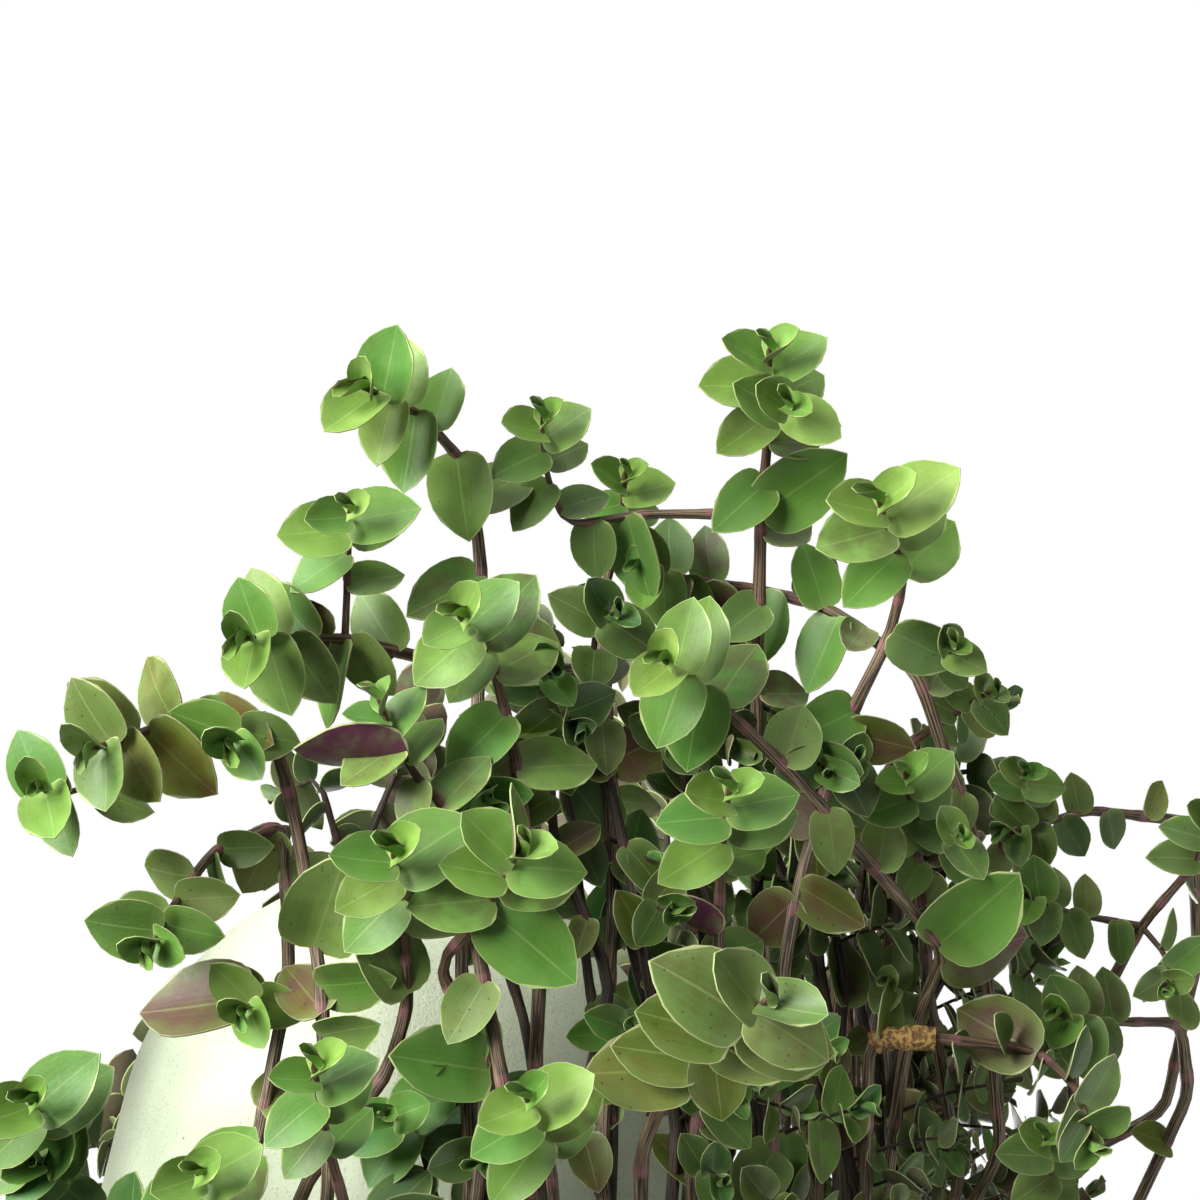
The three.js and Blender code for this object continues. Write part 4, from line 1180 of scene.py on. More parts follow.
@dataclass
class Shoot:
    """One stem with leaves: its points, and what its leaves are like."""

    points: list
    radius: float
    leaf: float
    toward: Vector
    age: float
    key: int
    root: float = BARE_SHOOT
    # How much painted shade darkens the stem and its leaves.
    painted_shade: float = 0.0


@dataclass
class LeafSpot:
    """Where one leaf grows."""

    index: int
    base: Vector
    reach: Vector
    face: Vector
    size: float


def node_distances(route, shoot):
    """How far back from its tip a shoot's nodes are: close together at the tip and wider apart behind."""
    distances = []
    back = FIRST_LEAF_BACK
    while back < route.length - shoot.root:
        distances.append(back)
        index = len(distances) - 1
        back += min(FIRST_LEAF_GAP + LEAF_GAP_STEP * index + LEAF_GAP_CURVE * index ** 3, MOST_LEAF_GAP)
    return distances


def leaf_spots(route, shoot):
    """The places of a shoot's leaves, from its tip back, in two ranks that turn slowly."""
    spots = []
    for index, back in enumerate(node_distances(route, shoot)):
        place, growth = route.at(route.length - back)
        outward = Vector((place.x, place.y - LIGHT_SHIFT, 0)).normalized()
        across = (shoot.toward - growth * shoot.toward.dot(growth)).normalized()
        turn = RANK_TURN * index + RANK_SWAY * sway(shoot.key, index, 71)
        across.rotate(Quaternion(growth, math.radians(turn)))
        lean = math.radians(max(TIP_LEAN - LEAN_STEP * index, LEAST_LEAN)
                            + LEAN_SWAY * sway(shoot.key, index, 72))
        reach = across * math.cos(lean) + growth * math.sin(lean)
        face = growth * math.cos(lean) - across * math.sin(lean)
        light = min(TIP_LIGHT + LIGHT_STEP * index, MOST_LIGHT)
        face = (face * (1 - light) + outward * light).normalized()
        reach = (reach - face * reach.dot(face)).normalized()
        size = (LEAF_SCALE * shoot.leaf * min(TIP_SIZE + SIZE_STEP * index, 1)
                * (1 + SIZE_SWAY * sway(shoot.key, index, 73)))
        radius = stem_radius(shoot, route, route.length - back)
        base = place + face * (BASE_OUT * radius) - reach * (BASE_IN * radius)
        spots.append(LeafSpot(index, base, reach, face, size))
    return spots


def new_vine():
    bm = bmesh.new()
    bm.verts.layers.float_vector.new("spot")
    bm.verts.layers.float_color.new("tint")
    return bm


def stem_radius(shoot, route, distance):
    """A stem's radius, thinner towards its tip."""
    from_tip = route.length - distance
    return shoot.radius * min(THIN_TIP + from_tip / TAPER, 1)


def ring_distances(route, nodes, spacing):
    """Where a stem has its rings: evenly along it and round its bands, none too close to the last."""
    wanted = [spacing * number for number in range(int(route.length / spacing) + 1)] + [route.length]
    wanted += [node + shift for node in nodes for shift in BAND_RINGS]
    distances = []
    for distance in sorted(wanted):
        if 0 <= distance <= route.length and (not distances or distance - distances[-1] > RING_GAP):
            distances.append(distance)
    return distances


def add_stem(bm, shoot, route, segments, spacing):
    """Adds a stem with a pink, slightly swollen band just above each of its older nodes."""
    nodes = [route.length - back for back in node_distances(route, shoot) if back > BAND_FROM]
    stations = []
    marks = []
    for distance in ring_distances(route, nodes, spacing):
        gaps = [(distance - node - BAND_CENTRE) / BAND_WIDTH for node in nodes]
        band = max([math.exp(-gap ** 2) for gap in gaps], default=0)
        radius = stem_radius(shoot, route, distance) * (1 + BAND_SWELL * band)
        from_tip = route.length - distance
        if from_tip < 0.5:
            radius *= 0.3
        stations.append((distance, radius))
        age = min(max(from_tip / BARK_AGES_OVER + BARK_AGE_SWAY * sway(shoot.key, 90), 0), 1)
        # The second mark is the stem's painted shade, which darkens its bark.
        marks.append((age, -shoot.painted_shade, band, 1))
    stem = new_vine()
    add_tube(stem, route, stations, segments, marks)
    finish_tube(stem, BARK)
    take_in(bm, stem)


def finish_tube(bm, material):
    """Smooth sides and flat ends, all of one material."""
    for face in bm.faces:
        face.smooth = len(face.verts) == 4
        face.material_index = material
    bmesh.ops.recalc_face_normals(bm, faces=bm.faces)


def tipped(spot, tilt):
    """A leaf's side, and its reach and face when it is tipped up by tilt."""
    side = spot.face.cross(spot.reach).normalized()
    turn = Quaternion(side, -tilt)
    reach, face = spot.reach.copy(), spot.face.copy()
    reach.rotate(turn)
    face.rotate(turn)
    return side, reach, face


def add_leaf(bm, mesh, spot, tilt, width, tint):
    """Adds one leaf at its place."""
    side, reach, face = tipped(spot, tilt)
    axes = Matrix((reach * spot.size, side * (spot.size * width), face * spot.size)).transposed().to_4x4()
    start = len(bm.verts)
    bm.from_mesh(mesh)
    bm.verts.ensure_lookup_table()
    leaf = bm.verts[start:]
    bmesh.ops.transform(bm, matrix=Matrix.Translation(spot.base) @ axes, verts=leaf)
    layer = bm.verts.layers.float_color["tint"]
    for vert in leaf:
        vert[layer] = (*tint, vert[layer][3])


class Thicket:
    """The leaves and stems grown so far, in a grid of cells, so that new leaves keep clear of them."""

    CELL = 24.0

    def __init__(self):
        self.cells = {}

    def near(self, point, reach):
        low = [math.floor((value - reach) / self.CELL) for value in point]
        high = [math.floor((value + reach) / self.CELL) for value in point]
        found = []
        for x in range(low[0], high[0] + 1):
            for y in range(low[1], high[1] + 1):
                for z in range(low[2], high[2] + 1):
                    found += self.cells.get((x, y, z), [])
        return found

    def add(self, item, point):
        self.cells.setdefault(tuple(math.floor(value / self.CELL) for value in point), []).append(item)


def leaf_width(index):
    """The leaves of a rosette are as broad as their form, and those further back are narrower."""
    return max(WIDEST - WIDTH_STEP * index, NARROWEST)


# A leaf as the test that keeps leaves apart sees it, in shares of its length: a disc, a chord along
# it and two across it, as (place along, half its width).
DISC_CENTRE = 0.45
DISC_RADIUS = 0.40
DISC_LIFT = 0.05
LONG_CHORD = (0.15, 0.97)
CROSS_CHORDS = [(0.25, 0.42), (0.60, 0.33)]
NEAR_LEAVES = 26.0


def leaf_shape(spot, tilt):
    """A leaf's disc and chords."""
    side, reach, face = tipped(spot, tilt)
    size = spot.size
    lift = face * (DISC_LIFT * size)
    chords = [tuple(spot.base + reach * (along * size) for along in LONG_CHORD)]
    for along, half in CROSS_CHORDS:
        middle = spot.base + reach * (along * size)
        chords.append((middle + side * (half * size) + lift, middle - side * (half * size) + lift))
    return dict(centre=spot.base + reach * (DISC_CENTRE * size), normal=face, radius=DISC_RADIUS * size,
                chords=chords)


def pierces(chord, disc):
    start, end = chord
    one = (start - disc["centre"]).dot(disc["normal"])
    other = (end - disc["centre"]).dot(disc["normal"])
    if one * other > 0 or one == other:
        return False
    meeting = start.lerp(end, one / (one - other))
    return (meeting - disc["centre"]).length < disc["radius"]


def leaf_is_clear(thicket, shape):
    for other in thicket.near(shape["centre"], NEAR_LEAVES):
        if any(pierces(chord, shape) for chord in other["chords"]):
            return False
        if other["radius"] > 0 and any(pierces(chord, other) for chord in shape["chords"]):
            return False
    return True


# The tilts that a leaf tries in turn until it is clear of the others.
LEAF_TILTS = [0, 0.22, -0.22, 0.45, -0.40, 0.70]

# How far apart the chords stand for which a stem is tested.
STEM_CHORD = 8

# The numbers of the materials on a leafy piece.
BARK = 1
CORK = 2


class Foliage:
    """Grows leafy stems into a model, with the leaves kept clear of each other."""

    def __init__(self, plant):
        self.leaves = [
            leaf_mesh(f"leaf_form_{number}", form, plant.leaf_thickness)
            for number, form in enumerate(LEAF_FORMS)]
        self.materials = [leaf_finish(plant), bark_finish(plant), sheath_finish(plant)]
        self.thicket = Thicket()

    def grow(self, bm, shoot, segments=STEM_SIDES, spacing=STEM_RINGS, must=False):
        """Adds a stem with its leaves. Where must is set, its rosette is whole even if leaves touch."""
        route = Route(shoot.points)
        add_stem(bm, shoot, route, segments, spacing)
        placed = []
        for spot in leaf_spots(route, shoot):
            dropped = draw(shoot.key, spot.index, 74) < self.bareness(spot.base.z - FOOT_Z)
            if spot.index > ROSETTE and dropped:
                continue
            shape, tilt = self.fit(spot)
            if shape is None and must and spot.index < ROSETTE:
                shape, tilt = leaf_shape(spot, 0), 0
            if shape is not None:
                placed.append((shape, shape["centre"]))
                self.add_grown_leaf(bm, shoot, spot, tilt)
        for item, point in self.stem_chords(route) + placed:
            self.thicket.add(item, point)

    def add_grown_leaf(self, bm, shoot, spot, tilt):
        key, index = shoot.key, spot.index
        form = index if index < OPEN_FROM else OPEN_FORMS[int(draw(key, index, 75) * len(OPEN_FORMS))]
        age = min(max(shoot.age + AGE_STEP * (index - 2) + AGE_SWAY * sway(key, index, 76), 0), 1)
        purple = max(draw(key, index, 77) * PURPLE_SPREAD - 1.0, 0) * min(index / PURPLE_OVER, 1)
        width = leaf_width(index) * (1 + WIDTH_SWAY * sway(key, index, 78))
        # Each leaf's random tone, lowered by the stem's painted shade.
        tone_and_shade = draw(key, index, 79) - shoot.painted_shade
        add_leaf(bm, self.leaves[form], spot, tilt, width, (age, tone_and_shade, purple))

    def stem_chords(self, route):
        """A stem as short chords, each with its middle."""
        chords = []
        steps = int(route.length / STEM_CHORD)
        for number in range(steps):
            start, _ = route.at(route.length * number / steps)
            end, _ = route.at(route.length * (number + 1) / steps)
            chords.append((dict(centre=start, normal=UP, radius=0, chords=[(start, end)]), (start + end) / 2))
        return chords

    def choose(self, routes, leaf):
        """The place of a chosen leaf, with its base on the nearest stem."""
        route, distance = nearest_on_sight_line(routes, leaf.base)
        place, _ = route.at(distance)
        tip = on_sight_line((*leaf.tip, leaf.forward - place.y))
        reach = (tip - place).normalized()
        to_eye = (EYE - place).normalized()
        face = (to_eye - reach * to_eye.dot(reach)).normalized()
        base = place + face * MAIN_STEM
        face.rotate(Quaternion(reach, math.radians(leaf.turn)))
        spot = LeafSpot(ROSETTE + 1, base, reach, face, (tip - place).length)
        shape = leaf_shape(spot, 0)
        self.thicket.add(shape, shape["centre"])
        return spot

    def bareness(self, height):
        """The share of old leaves that have dropped at a height."""
        if height > DROP_UP_TO:
            return FEWEST_DROPPED
        return min(max(FEWEST_DROPPED + (height - DROP_FROM) / DROP_OVER, FEWEST_DROPPED), MOST_DROPPED)

    def fit(self, spot):
        """The first tilt at which a leaf is clear, with its shape there."""
        for tilt in LEAF_TILTS:
            shape = leaf_shape(spot, tilt)
            if leaf_is_clear(self.thicket, shape):
                return shape, tilt
        return None, 0


# The ways of the stems

def in_arc(azimuth, arc):
    return arc[0] < azimuth < arc[1]


def picture_clock(trail):
    """The direction of a tip's first leaf: across the shoot as it is seen from the front."""
    start = trail[max(len(trail) - 3, 0)]
    end = trail[-1]
    angle = math.atan2(end[1] - start[1], end[0] - start[0]) + math.pi / 2
    return Vector((math.cos(angle), 0, math.sin(angle)))


def turned_clock(azimuth, key):
    """The direction of a tip's first leaf, drawn for a stem that no view fixes."""
    angle = math.radians(azimuth)
    clock = math.tau * draw(key, 70)
    return Vector((math.cos(angle), math.sin(angle), 0)) * math.cos(clock) + UP * math.sin(clock)


def drawn_shoot(points, radius, leaf, azimuth, age, key, root=BARE_SHOOT, painted_shade=0.0):
    """A stem whose first leaf points in a drawn direction."""
    return Shoot(points, radius, leaf, turned_clock(azimuth, key), age, key, root, painted_shade)


def over_rim(azimuth, order, rise=0, turn=0):
    """The start of a trailing stem: straight up out of the soil, over the rim and down past it."""
    root = OUTER_ROOTS if order % 2 == 0 else INNER_ROOTS
    if azimuth > LEFT_FROM:
        root = LEFT_ROOTS
    return [
        polar(root, azimuth, SOIL_LEVEL - ROOT_DEPTH),
        polar(root, azimuth, SOIL_LEVEL + ROOT_RISE),
        polar(root + RISE_OUT, azimuth + turn, POT_HEIGHT + RIM_PASS_RISE + rise),
        polar(RIM_PASS_RADIUS, azimuth - turn, POT_HEIGHT + RIM_PASS_OVER + rise),
        polar(RIM_PASS_RADIUS + RIM_PASS_OUT, azimuth, RIM_PASS_LOW),
    ]


def lowest_tip(azimuth):
    """How far down a tip may hang at an azimuth, from the edge of the foliage in the photograph."""
    turn = azimuth % 360
    for (one, low), (other, next_low) in zip(LOWEST_TIPS, LOWEST_TIPS[1:]):
        if turn <= other:
            return low + (next_low - low) * (turn - one) / (other - one)
    return LOWEST_TIPS[-1][1]


def hanging_trail(azimuth, order):
    """A hanging stem by rule: down past the pot with a little sway, its tip curling outwards."""
    low = lowest_tip(azimuth)
    tip = low + min(TIP_PLAY, TIP_CEILING - low) * draw(order, 0, 1)
    _, out_play, tuck = next(hang for hang in HANGS if azimuth >= hang[0])
    reach = out_play.drawn(order, 0, 2)
    steps = max(math.floor((TRAIL_TOP - tip) / TRAIL_STEP + 0.5), 0)
    trail = []
    for step in range(steps):
        part = step / steps
        turn = azimuth + TRAIL_SWAY * sway(order, 0, 10 + step)
        out = reach + TRAIL_SWAY * sway(order, 0, 30 + step) - tuck * part * part
        trail.append(polar(out, turn, TRAIL_TOP + (tip - TRAIL_TOP) * part))
    lean = azimuth + TRAIL_LEAN * sway(order, 0, 3)
    trail.append(polar(reach + TIP_OUT, (azimuth + lean) / 2, tip))
    trail.append(polar(reach + TIP_CURL, lean, tip - TIP_DROP + TIP_LIFT * draw(order, 0, 4)))
    return trail


def spray(azimuth, order, side, start):
    """A side shoot of a hanging stem by rule: from a point of it outwards and down to one side."""
    turn = side * SPRAY_TURN.drawn(order, side + 2, 50)
    reach = SPRAY_END.drawn(order, side + 2, 51)
    drop = SPRAY_DROP.drawn(order, side + 2, 52)
    out = math.hypot(start.x, start.y)
    height = start.z - FOOT_Z
    return [
        start.copy(),
        polar((out + reach) / 2, azimuth + 0.6 * turn, height - 0.3 * drop),
        polar(reach, azimuth + turn, height - drop),
    ]


def tuft_azimuth(number):
    return 360 * number / TUFT_COUNT + FIRST_TUFT_AZIMUTH


def tuft_points(number):
    """An upright tuft by rule: a stem with two shoots that fan out over the soil."""
    azimuth = tuft_azimuth(number)
    radius = TUFT_MIDDLE if number == 0 else TUFT_CIRCLE
    stem = [
        polar(radius, azimuth, SOIL_LEVEL - ROOT_DEPTH),
        polar(radius, azimuth, SOIL_LEVEL + 8),
        polar(radius + 4, azimuth + 8, POT_HEIGHT + 14),
        polar(radius + 8, azimuth, TUFT_HEIGHT.drawn(number, 60)),
    ]
    shoots = []
    for side in (-1, 1):
        shoots.append([
            stem[2].copy(),
            polar(radius + 14, azimuth + side * 26, POT_HEIGHT + 20),
            polar(radius + 24, azimuth + side * 34, TUFT_SHOOT_HEIGHT.drawn(number, side + 2, 61)),
        ])
    return stem, shoots


def filler_trail(azimuth, order):
    """A stem behind the others: close past the pot, with its tip turned outwards."""
    play, tuck = (FRONT_PLAY, FRONT_TUCK) if in_arc(azimuth, FRONT_ARC) else (OTHER_PLAY, OTHER_TUCK)
    tip = lowest_tip(azimuth) + play * draw(order, 1)
    reach = FILLER_REACH.drawn(order, 2)
    inward = min(tuck, max((TRAIL_TOP - tip) / 3, 0))
    if in_arc(azimuth, LOOSE_ARC):
        inward *= 1 - 1.5 * draw(order, 5)
    if in_arc(azimuth, RIGHT_ARC):
        reach += RIGHT_REACH
        inward = 0
    steps = math.floor((FILLER_TOP - tip) / FILLER_STEP + 0.5)
    trail = []
    for step in range(steps):
        part = step / steps
        turn = azimuth + TRAIL_SWAY * sway(order, 10 + step)
        out = reach + TRAIL_SWAY * sway(order, 30 + step) - inward * part * part
        trail.append(polar(out, turn, FILLER_TOP + (tip - FILLER_TOP) * part))
    out = reach - inward
    lean = azimuth + FILLER_LEAN * sway(order, 3)
    trail.append(polar(out + FILLER_TIP_OUT, (azimuth + lean) / 2, tip))
    end = tip - FILLER_TIP_DROP + FILLER_TIP_LIFT * draw(order, 4)
    trail.append(polar(out + FILLER_TIP_CURL, lean, end))
    return trail


def far_trail(azimuth, order):
    """A thin stem that reaches far out, down to an elbow and then outwards."""
    tip = FAR_TIP.drawn(order, 2)
    reach = FAR_REACH.drawn(order, 3)
    low = min(tip + FAR_ELBOW_RISE * draw(order, 4), FILLER_TOP)
    middle = (low + tip) / 2 + 12 * sway(order, 10)
    return [
        polar(FAR_SHOULDER.drawn(order, 5), azimuth + 3 * sway(order, 6), (low + RIM_PASS_LOW) / 2),
        polar(FAR_ELBOW.drawn(order, 7), azimuth + 5 * sway(order, 8), low),
        polar((FAR_ELBOW.least + reach) / 2, azimuth + 7 * sway(order, 9), middle),
        polar(reach, azimuth + 9 * sway(order, 11), tip),
    ]


def twig_points(route, azimuth, key):
    """A short shoot out of a stem, with its tip turned outwards."""
    place, growth = route.at(route.length * TWIG_PLACE.drawn(key, 85))
    turn = math.radians(azimuth + TWIG_SWAY * sway(key, 86))
    outward = Vector((math.sin(turn), -math.cos(turn), TWIG_LIFT.drawn(key, 87)))
    reach = TWIG_REACH.drawn(key, 88)
    return [place, place + growth * 4 + outward * (0.45 * reach), place + growth * 5 + outward * reach]


def crown_points(number, order, azimuth):
    """A short stem that covers the top of the soil and leans over the rim."""
    radius = CROWN_RADIUS * math.sqrt((number + 0.5) / CROWN_COUNT)
    height = CROWN_HEIGHT.drawn(order, 60) - CROWN_SLOPE * radius
    lean = azimuth + CROWN_SWAY * sway(order, 61)
    return [
        polar(radius, azimuth, SOIL_LEVEL - CROWN_ROOT),
        polar(radius, azimuth, SOIL_LEVEL + 8),
        polar(radius + 5, lean, height - 6),
        polar(radius + 16, lean, height + 4),
    ]


# Operators

class TURTLEVINE_OT_stage(bpy.types.Operator):
    """Makes the floor, the soft lights and the camera"""

    bl_idname = "turtlevine.stage"
    bl_label = "Stage"

    def execute(self, context):
        settings = context.scene.turtle_vine_stage
        self.make_camera(context)
        self.make_world(context, settings)
        lights = [
            ("key_light", (1.0, -0.85, -0.55), settings.key_power),
            ("left_light", (-1.0, -0.35, 0.75), settings.fill_power),
            ("back_light", (0.2, 1.0, 0.55), settings.back_power),
        ]
        for name, direction, power in lights:
            self.make_light(context, settings, name, Vector(direction), power)
        self.make_floor(context, settings)
        return {"FINISHED"}

    def make_camera(self, context):
        """The camera looks along +Y and is rolled half a turn, as the photograph is stored."""
        camera = bpy.data.cameras.new("camera")
        camera.sensor_width = 36
        camera.lens = camera.sensor_width / 2 * VIEW_DISTANCE / VIEW_HALF_WIDTH
        view = bpy.data.objects.new("camera", camera)
        context.scene.collection.objects.link(view)
        right, up, back = Vector((-1, 0, 0)), Vector((0, 0, -1)), Vector((0, -1, 0))
        view.matrix_world = Matrix.Translation(EYE * MM) @ Matrix((right, up, back)).transposed().to_4x4()
        context.scene.camera = view

    def make_world(self, context, settings):
        """A white background whose light on the plant is dimmer than the camera sees it."""
        world = bpy.data.worlds.new("white_room")
        context.scene.world = world
        world.use_nodes = True
        tree = world.node_tree
        backdrop = tree.nodes["Background"]
        backdrop.inputs["Color"].default_value = WHITE
        path = tree.nodes.new("ShaderNodeLightPath")
        brightness = tree.nodes.new("ShaderNodeMapRange")
        brightness.inputs["To Min"].default_value = settings.world_light
        brightness.inputs["To Max"].default_value = 1.0
        tree.links.new(path.outputs["Is Camera Ray"], brightness.inputs["Value"])
        tree.links.new(brightness.outputs["Result"], backdrop.inputs["Strength"])
        context.scene.view_settings.view_transform = "Standard"

    def make_light(self, context, settings, name, direction, power):
        """A soft light that shines on the middle of the view from a direction."""
        light = bpy.data.lights.new(name, "AREA")
        light.energy = power
        light.size = settings.light_size
        lamp = bpy.data.objects.new(name, light)
        context.scene.collection.objects.link(lamp)
        middle = Vector((VIEW_X, 0, FOOT_Z + VIEW_Z)) * MM
        direction = direction.normalized()
        lamp.matrix_world = (Matrix.Translation(middle + direction * settings.light_distance)
                             @ direction.to_track_quat("Z", "Y").to_matrix().to_4x4())

    def make_floor(self, context, settings):
        bm = bmesh.new()
        bmesh.ops.create_circle(bm, cap_ends=True, radius=settings.floor_radius, segments=96,
                                matrix=Matrix.Translation((0, 0, -settings.floor_drop)))
        floor = bpy.data.objects.new("floor", as_mesh("floor", bm, [floor_finish(settings)]))
        context.scene.collection.objects.link(floor)


def bowl_profile(settings, inset, arc_steps):
    """The outer profile of the pot's round bottom, moved inwards by inset."""
    radius = settings.bottom_radius / MM - inset
    foot_angle = math.asin((settings.foot_radius / MM - inset) / radius)
    wall_angle = math.pi / 2 - settings.wall_lean
    profile = []
    for step in range(arc_steps + 1):
        angle = foot_angle + (wall_angle - foot_angle) * step / arc_steps
        profile.append((radius * math.sin(angle), settings.bottom_radius / MM - radius * math.cos(angle)))
    return profile


def wall_radius(settings, height, inset):
    """The radius of the straight wall at a height, moved inwards by inset."""
    bottom = settings.bottom_radius / MM
    touch = bottom - bottom * math.sin(settings.wall_lean)
    outer = bottom * math.cos(settings.wall_lean) + (height - touch) * math.tan(settings.wall_lean)
    return outer - inset / math.cos(settings.wall_lean)


class TURTLEVINE_OT_pot(bpy.types.Operator):
    """Makes the round-bottomed pot with its lip and holes"""

    bl_idname = "turtlevine.pot"
    bl_label = "Pot"

    def execute(self, context):
        settings = context.scene.turtle_vine_pot
        wall = settings.wall / MM
        lip_under = POT_HEIGHT - LIP_DEPTH
        lip = settings.lip_radius / MM
        outside = bowl_profile(settings, 0, OUTER_ARC_STEPS)
        inside = bowl_profile(settings, wall, INNER_ARC_STEPS)[::-1]
        profile = [
            (0, outside[0][1]),
            *outside,
            (wall_radius(settings, lip_under, 0), lip_under),
            (lip, lip_under),
            (lip, POT_HEIGHT),
            (wall_radius(settings, POT_HEIGHT, wall), POT_HEIGHT),
            *inside,
            (0, inside[-1][1]),
        ]
        holes = self.drain_holes() + self.wire_holes(context.scene.turtle_vine_hanger, lip_under)
        bm = cut(revolve(profile, POT_STEPS), holes)
        shade_smooth(bm)
        pot = to_piece("sage_pot", bm, [clay_finish(settings)], "pot", "pot")
        soften_edges(pot, POT_SOFT_EDGE)
        return {"FINISHED"}

    def drain_holes(self):
        low, high = DRAIN_CUT
        cutters = []
        for hole in range(DRAIN_HOLES):
            centre = polar(DRAIN_CIRCLE, 360 * (hole + 0.5) / DRAIN_HOLES, 0)
            cutters.append(post(centre.x, centre.y, FOOT_Z + low, FOOT_Z + high, DRAIN_RADIUS))
        return cutters

    def wire_holes(self, hanger, lip_under):
        low = FOOT_Z + lip_under - CUT_BEYOND
        high = FOOT_Z + POT_HEIGHT + CUT_BEYOND
        cutters = []
        for wire in range(WIRE_COUNT):
            centre = polar(WIRE_CIRCLE_RIM, wire_azimuth(wire), 0)
            cutters.append(post(centre.x, centre.y, low, high, hanger.wire_radius / MM + WIRE_HOLE_PLAY))
        return cutters


class TURTLEVINE_OT_soil(bpy.types.Operator):
    """Makes the soil with its uneven top and loose crumbs"""

    bl_idname = "turtlevine.soil"
    bl_label = "Soil"

    def execute(self, context):
        settings = context.scene.turtle_vine_pot
        inset = settings.wall / MM + GAP
        side = bowl_profile(settings, inset, SOIL_ARC_STEPS)
        edge = wall_radius(settings, SOIL_LEVEL, inset)
        top = []
        for step in range(SOIL_RINGS + 1):
            part = 1 - step / SOIL_RINGS
            top.append((edge * part, SOIL_LEVEL + SOIL_CROWN * (1 - part ** 2)))
        bm = revolve([(0, side[0][1]), *side, *top], SOIL_STEPS)
        for vert in bm.verts:
            radius = math.hypot(vert.co.x, vert.co.y)
            if vert.co.z > FOOT_Z + SOIL_LEVEL - SOIL_EDGE and radius < edge - SOIL_EDGE:
                vert.co.z += sum(rise * noise.noise(vert.co * waves) for rise, waves in SOIL_WAVES)
        for crumb in range(CRUMB_COUNT):
            self.add_crumb(bm, settings, edge, crumb)
        for face in bm.faces:
            face.smooth = True
        to_piece("potting_soil", bm, [soil_finish(settings)], "soil", "soil")
        return {"FINISHED"}

    def add_crumb(self, bm, settings, edge, crumb):
        radius = (edge - CRUMBS_INSIDE) * math.sqrt(draw(crumb, 201))
        height = SOIL_LEVEL + SOIL_CROWN * (1 - (radius / edge) ** 2)
        centre = polar(radius, 360 * draw(crumb, 202), height)
        size = settings.crumb / MM * (LEAST_CRUMB + (1 - LEAST_CRUMB) * draw(crumb, 203))
        made = bmesh.ops.create_icosphere(bm, subdivisions=1, radius=size, matrix=Matrix.Translation(centre))
        for vert in made["verts"]:
            vert.co += (vert.co - centre) * (CRUMB_LUMPS * noise.noise(vert.co * 0.9))


class TURTLEVINE_OT_hanger(bpy.types.Operator):
    """Makes the hook with its plate and the three wires"""

    bl_idname = "turtlevine.hanger"
    bl_label = "Hanger"

    def execute(self, context):
        settings = context.scene.turtle_vine_hanger
        steel = steel_finish(settings)
        self.make_hook(settings, steel)
        for wire in range(WIRE_COUNT):
            self.make_wire(settings, steel, wire)
        return {"FINISHED"}

    def make_hook(self, settings, steel):
        """The hook's wire, from its weld in the plate up and round to its rounded end."""
        radius = settings.hook_radius / MM
        plate_low = PLATE_TOP - PLATE_THICKNESS
        centre = -HOOK_BEND + radius
        points = [Vector((0, 0, plate_low + WELD)), Vector((0, 0, centre - HOOK_BEND - HOOK_SHANK))]
        for step in range(HOOK_STEPS + 1):
            angle = math.radians(HOOK_FROM + HOOK_SWEEP * step / HOOK_STEPS)
            points.append(Vector((HOOK_BEND * math.cos(angle), 0, centre + HOOK_BEND * math.sin(angle))))
        route = Route(points)
        stations = [(route.length * number / HOOK_RINGS, radius) for number in range(HOOK_RINGS)]
        stations += [(route.length - back, radius * part) for back, part in HOOK_END]
        hole = settings.wire_radius / MM + PLATE_HOLE_PLAY
        cutters = []
        for wire in range(WIRE_COUNT):
            spot = polar(WIRE_CIRCLE_TOP, wire_azimuth(wire), 0)
            cutters.append(post(spot.x, spot.y, plate_low - CUT_BEYOND, PLATE_TOP + CUT_BEYOND, hole))
        bm = cut(post(0, 0, plate_low, PLATE_TOP, PLATE_RADIUS, PLATE_STEPS), cutters)
        add_tube(bm, route, stations, HOOK_SIDES)
        bmesh.ops.recalc_face_normals(bm, faces=bm.faces)
        shade_smooth(bm)
        hook = to_piece("steel_hook", bm, [steel], "hanger", "hanger_hook")
        soften_edges(hook, HOOK_SOFT_EDGE)

    def make_wire(self, settings, steel, wire):
        """A wire with its two beads: over the plate, straight to the rim and through the pot's lip."""
        azimuth = wire_azimuth(wire)
        radius = settings.wire_radius / MM
        rim = FOOT_Z + POT_HEIGHT
        heights = [
            (WIRE_CIRCLE_TOP, PLATE_TOP + GAP + BEAD_SEAT),
            (WIRE_CIRCLE_TOP, PLATE_TOP - PLATE_THICKNESS - WIRE_BEND_TOP),
            (WIRE_CIRCLE_RIM, rim + WIRE_BEND_RIM),
            (WIRE_CIRCLE_RIM, rim - LIP_DEPTH - GAP - BEAD_SEAT),
        ]
        points = [polar(out, azimuth, height - FOOT_Z) for out, height in heights]
        route = Route(points)
        stations = [(mark, radius) for number, mark in enumerate(route.marks)
                    if number == 0 or mark - route.marks[number - 1] > 0.05]
        bm = bmesh.new()
        add_tube(bm, route, stations, WIRE_SIDES)
        add_ball(bm, points[0], WIRE_BEAD)
        add_ball(bm, points[-1], WIRE_BEAD)
        bmesh.ops.recalc_face_normals(bm, faces=bm.faces)
        shade_smooth(bm)
        to_piece(f"steel_wire_{wire + 1}", bm, [steel], "hanger", f"hanger_wire_{wire + 1}")


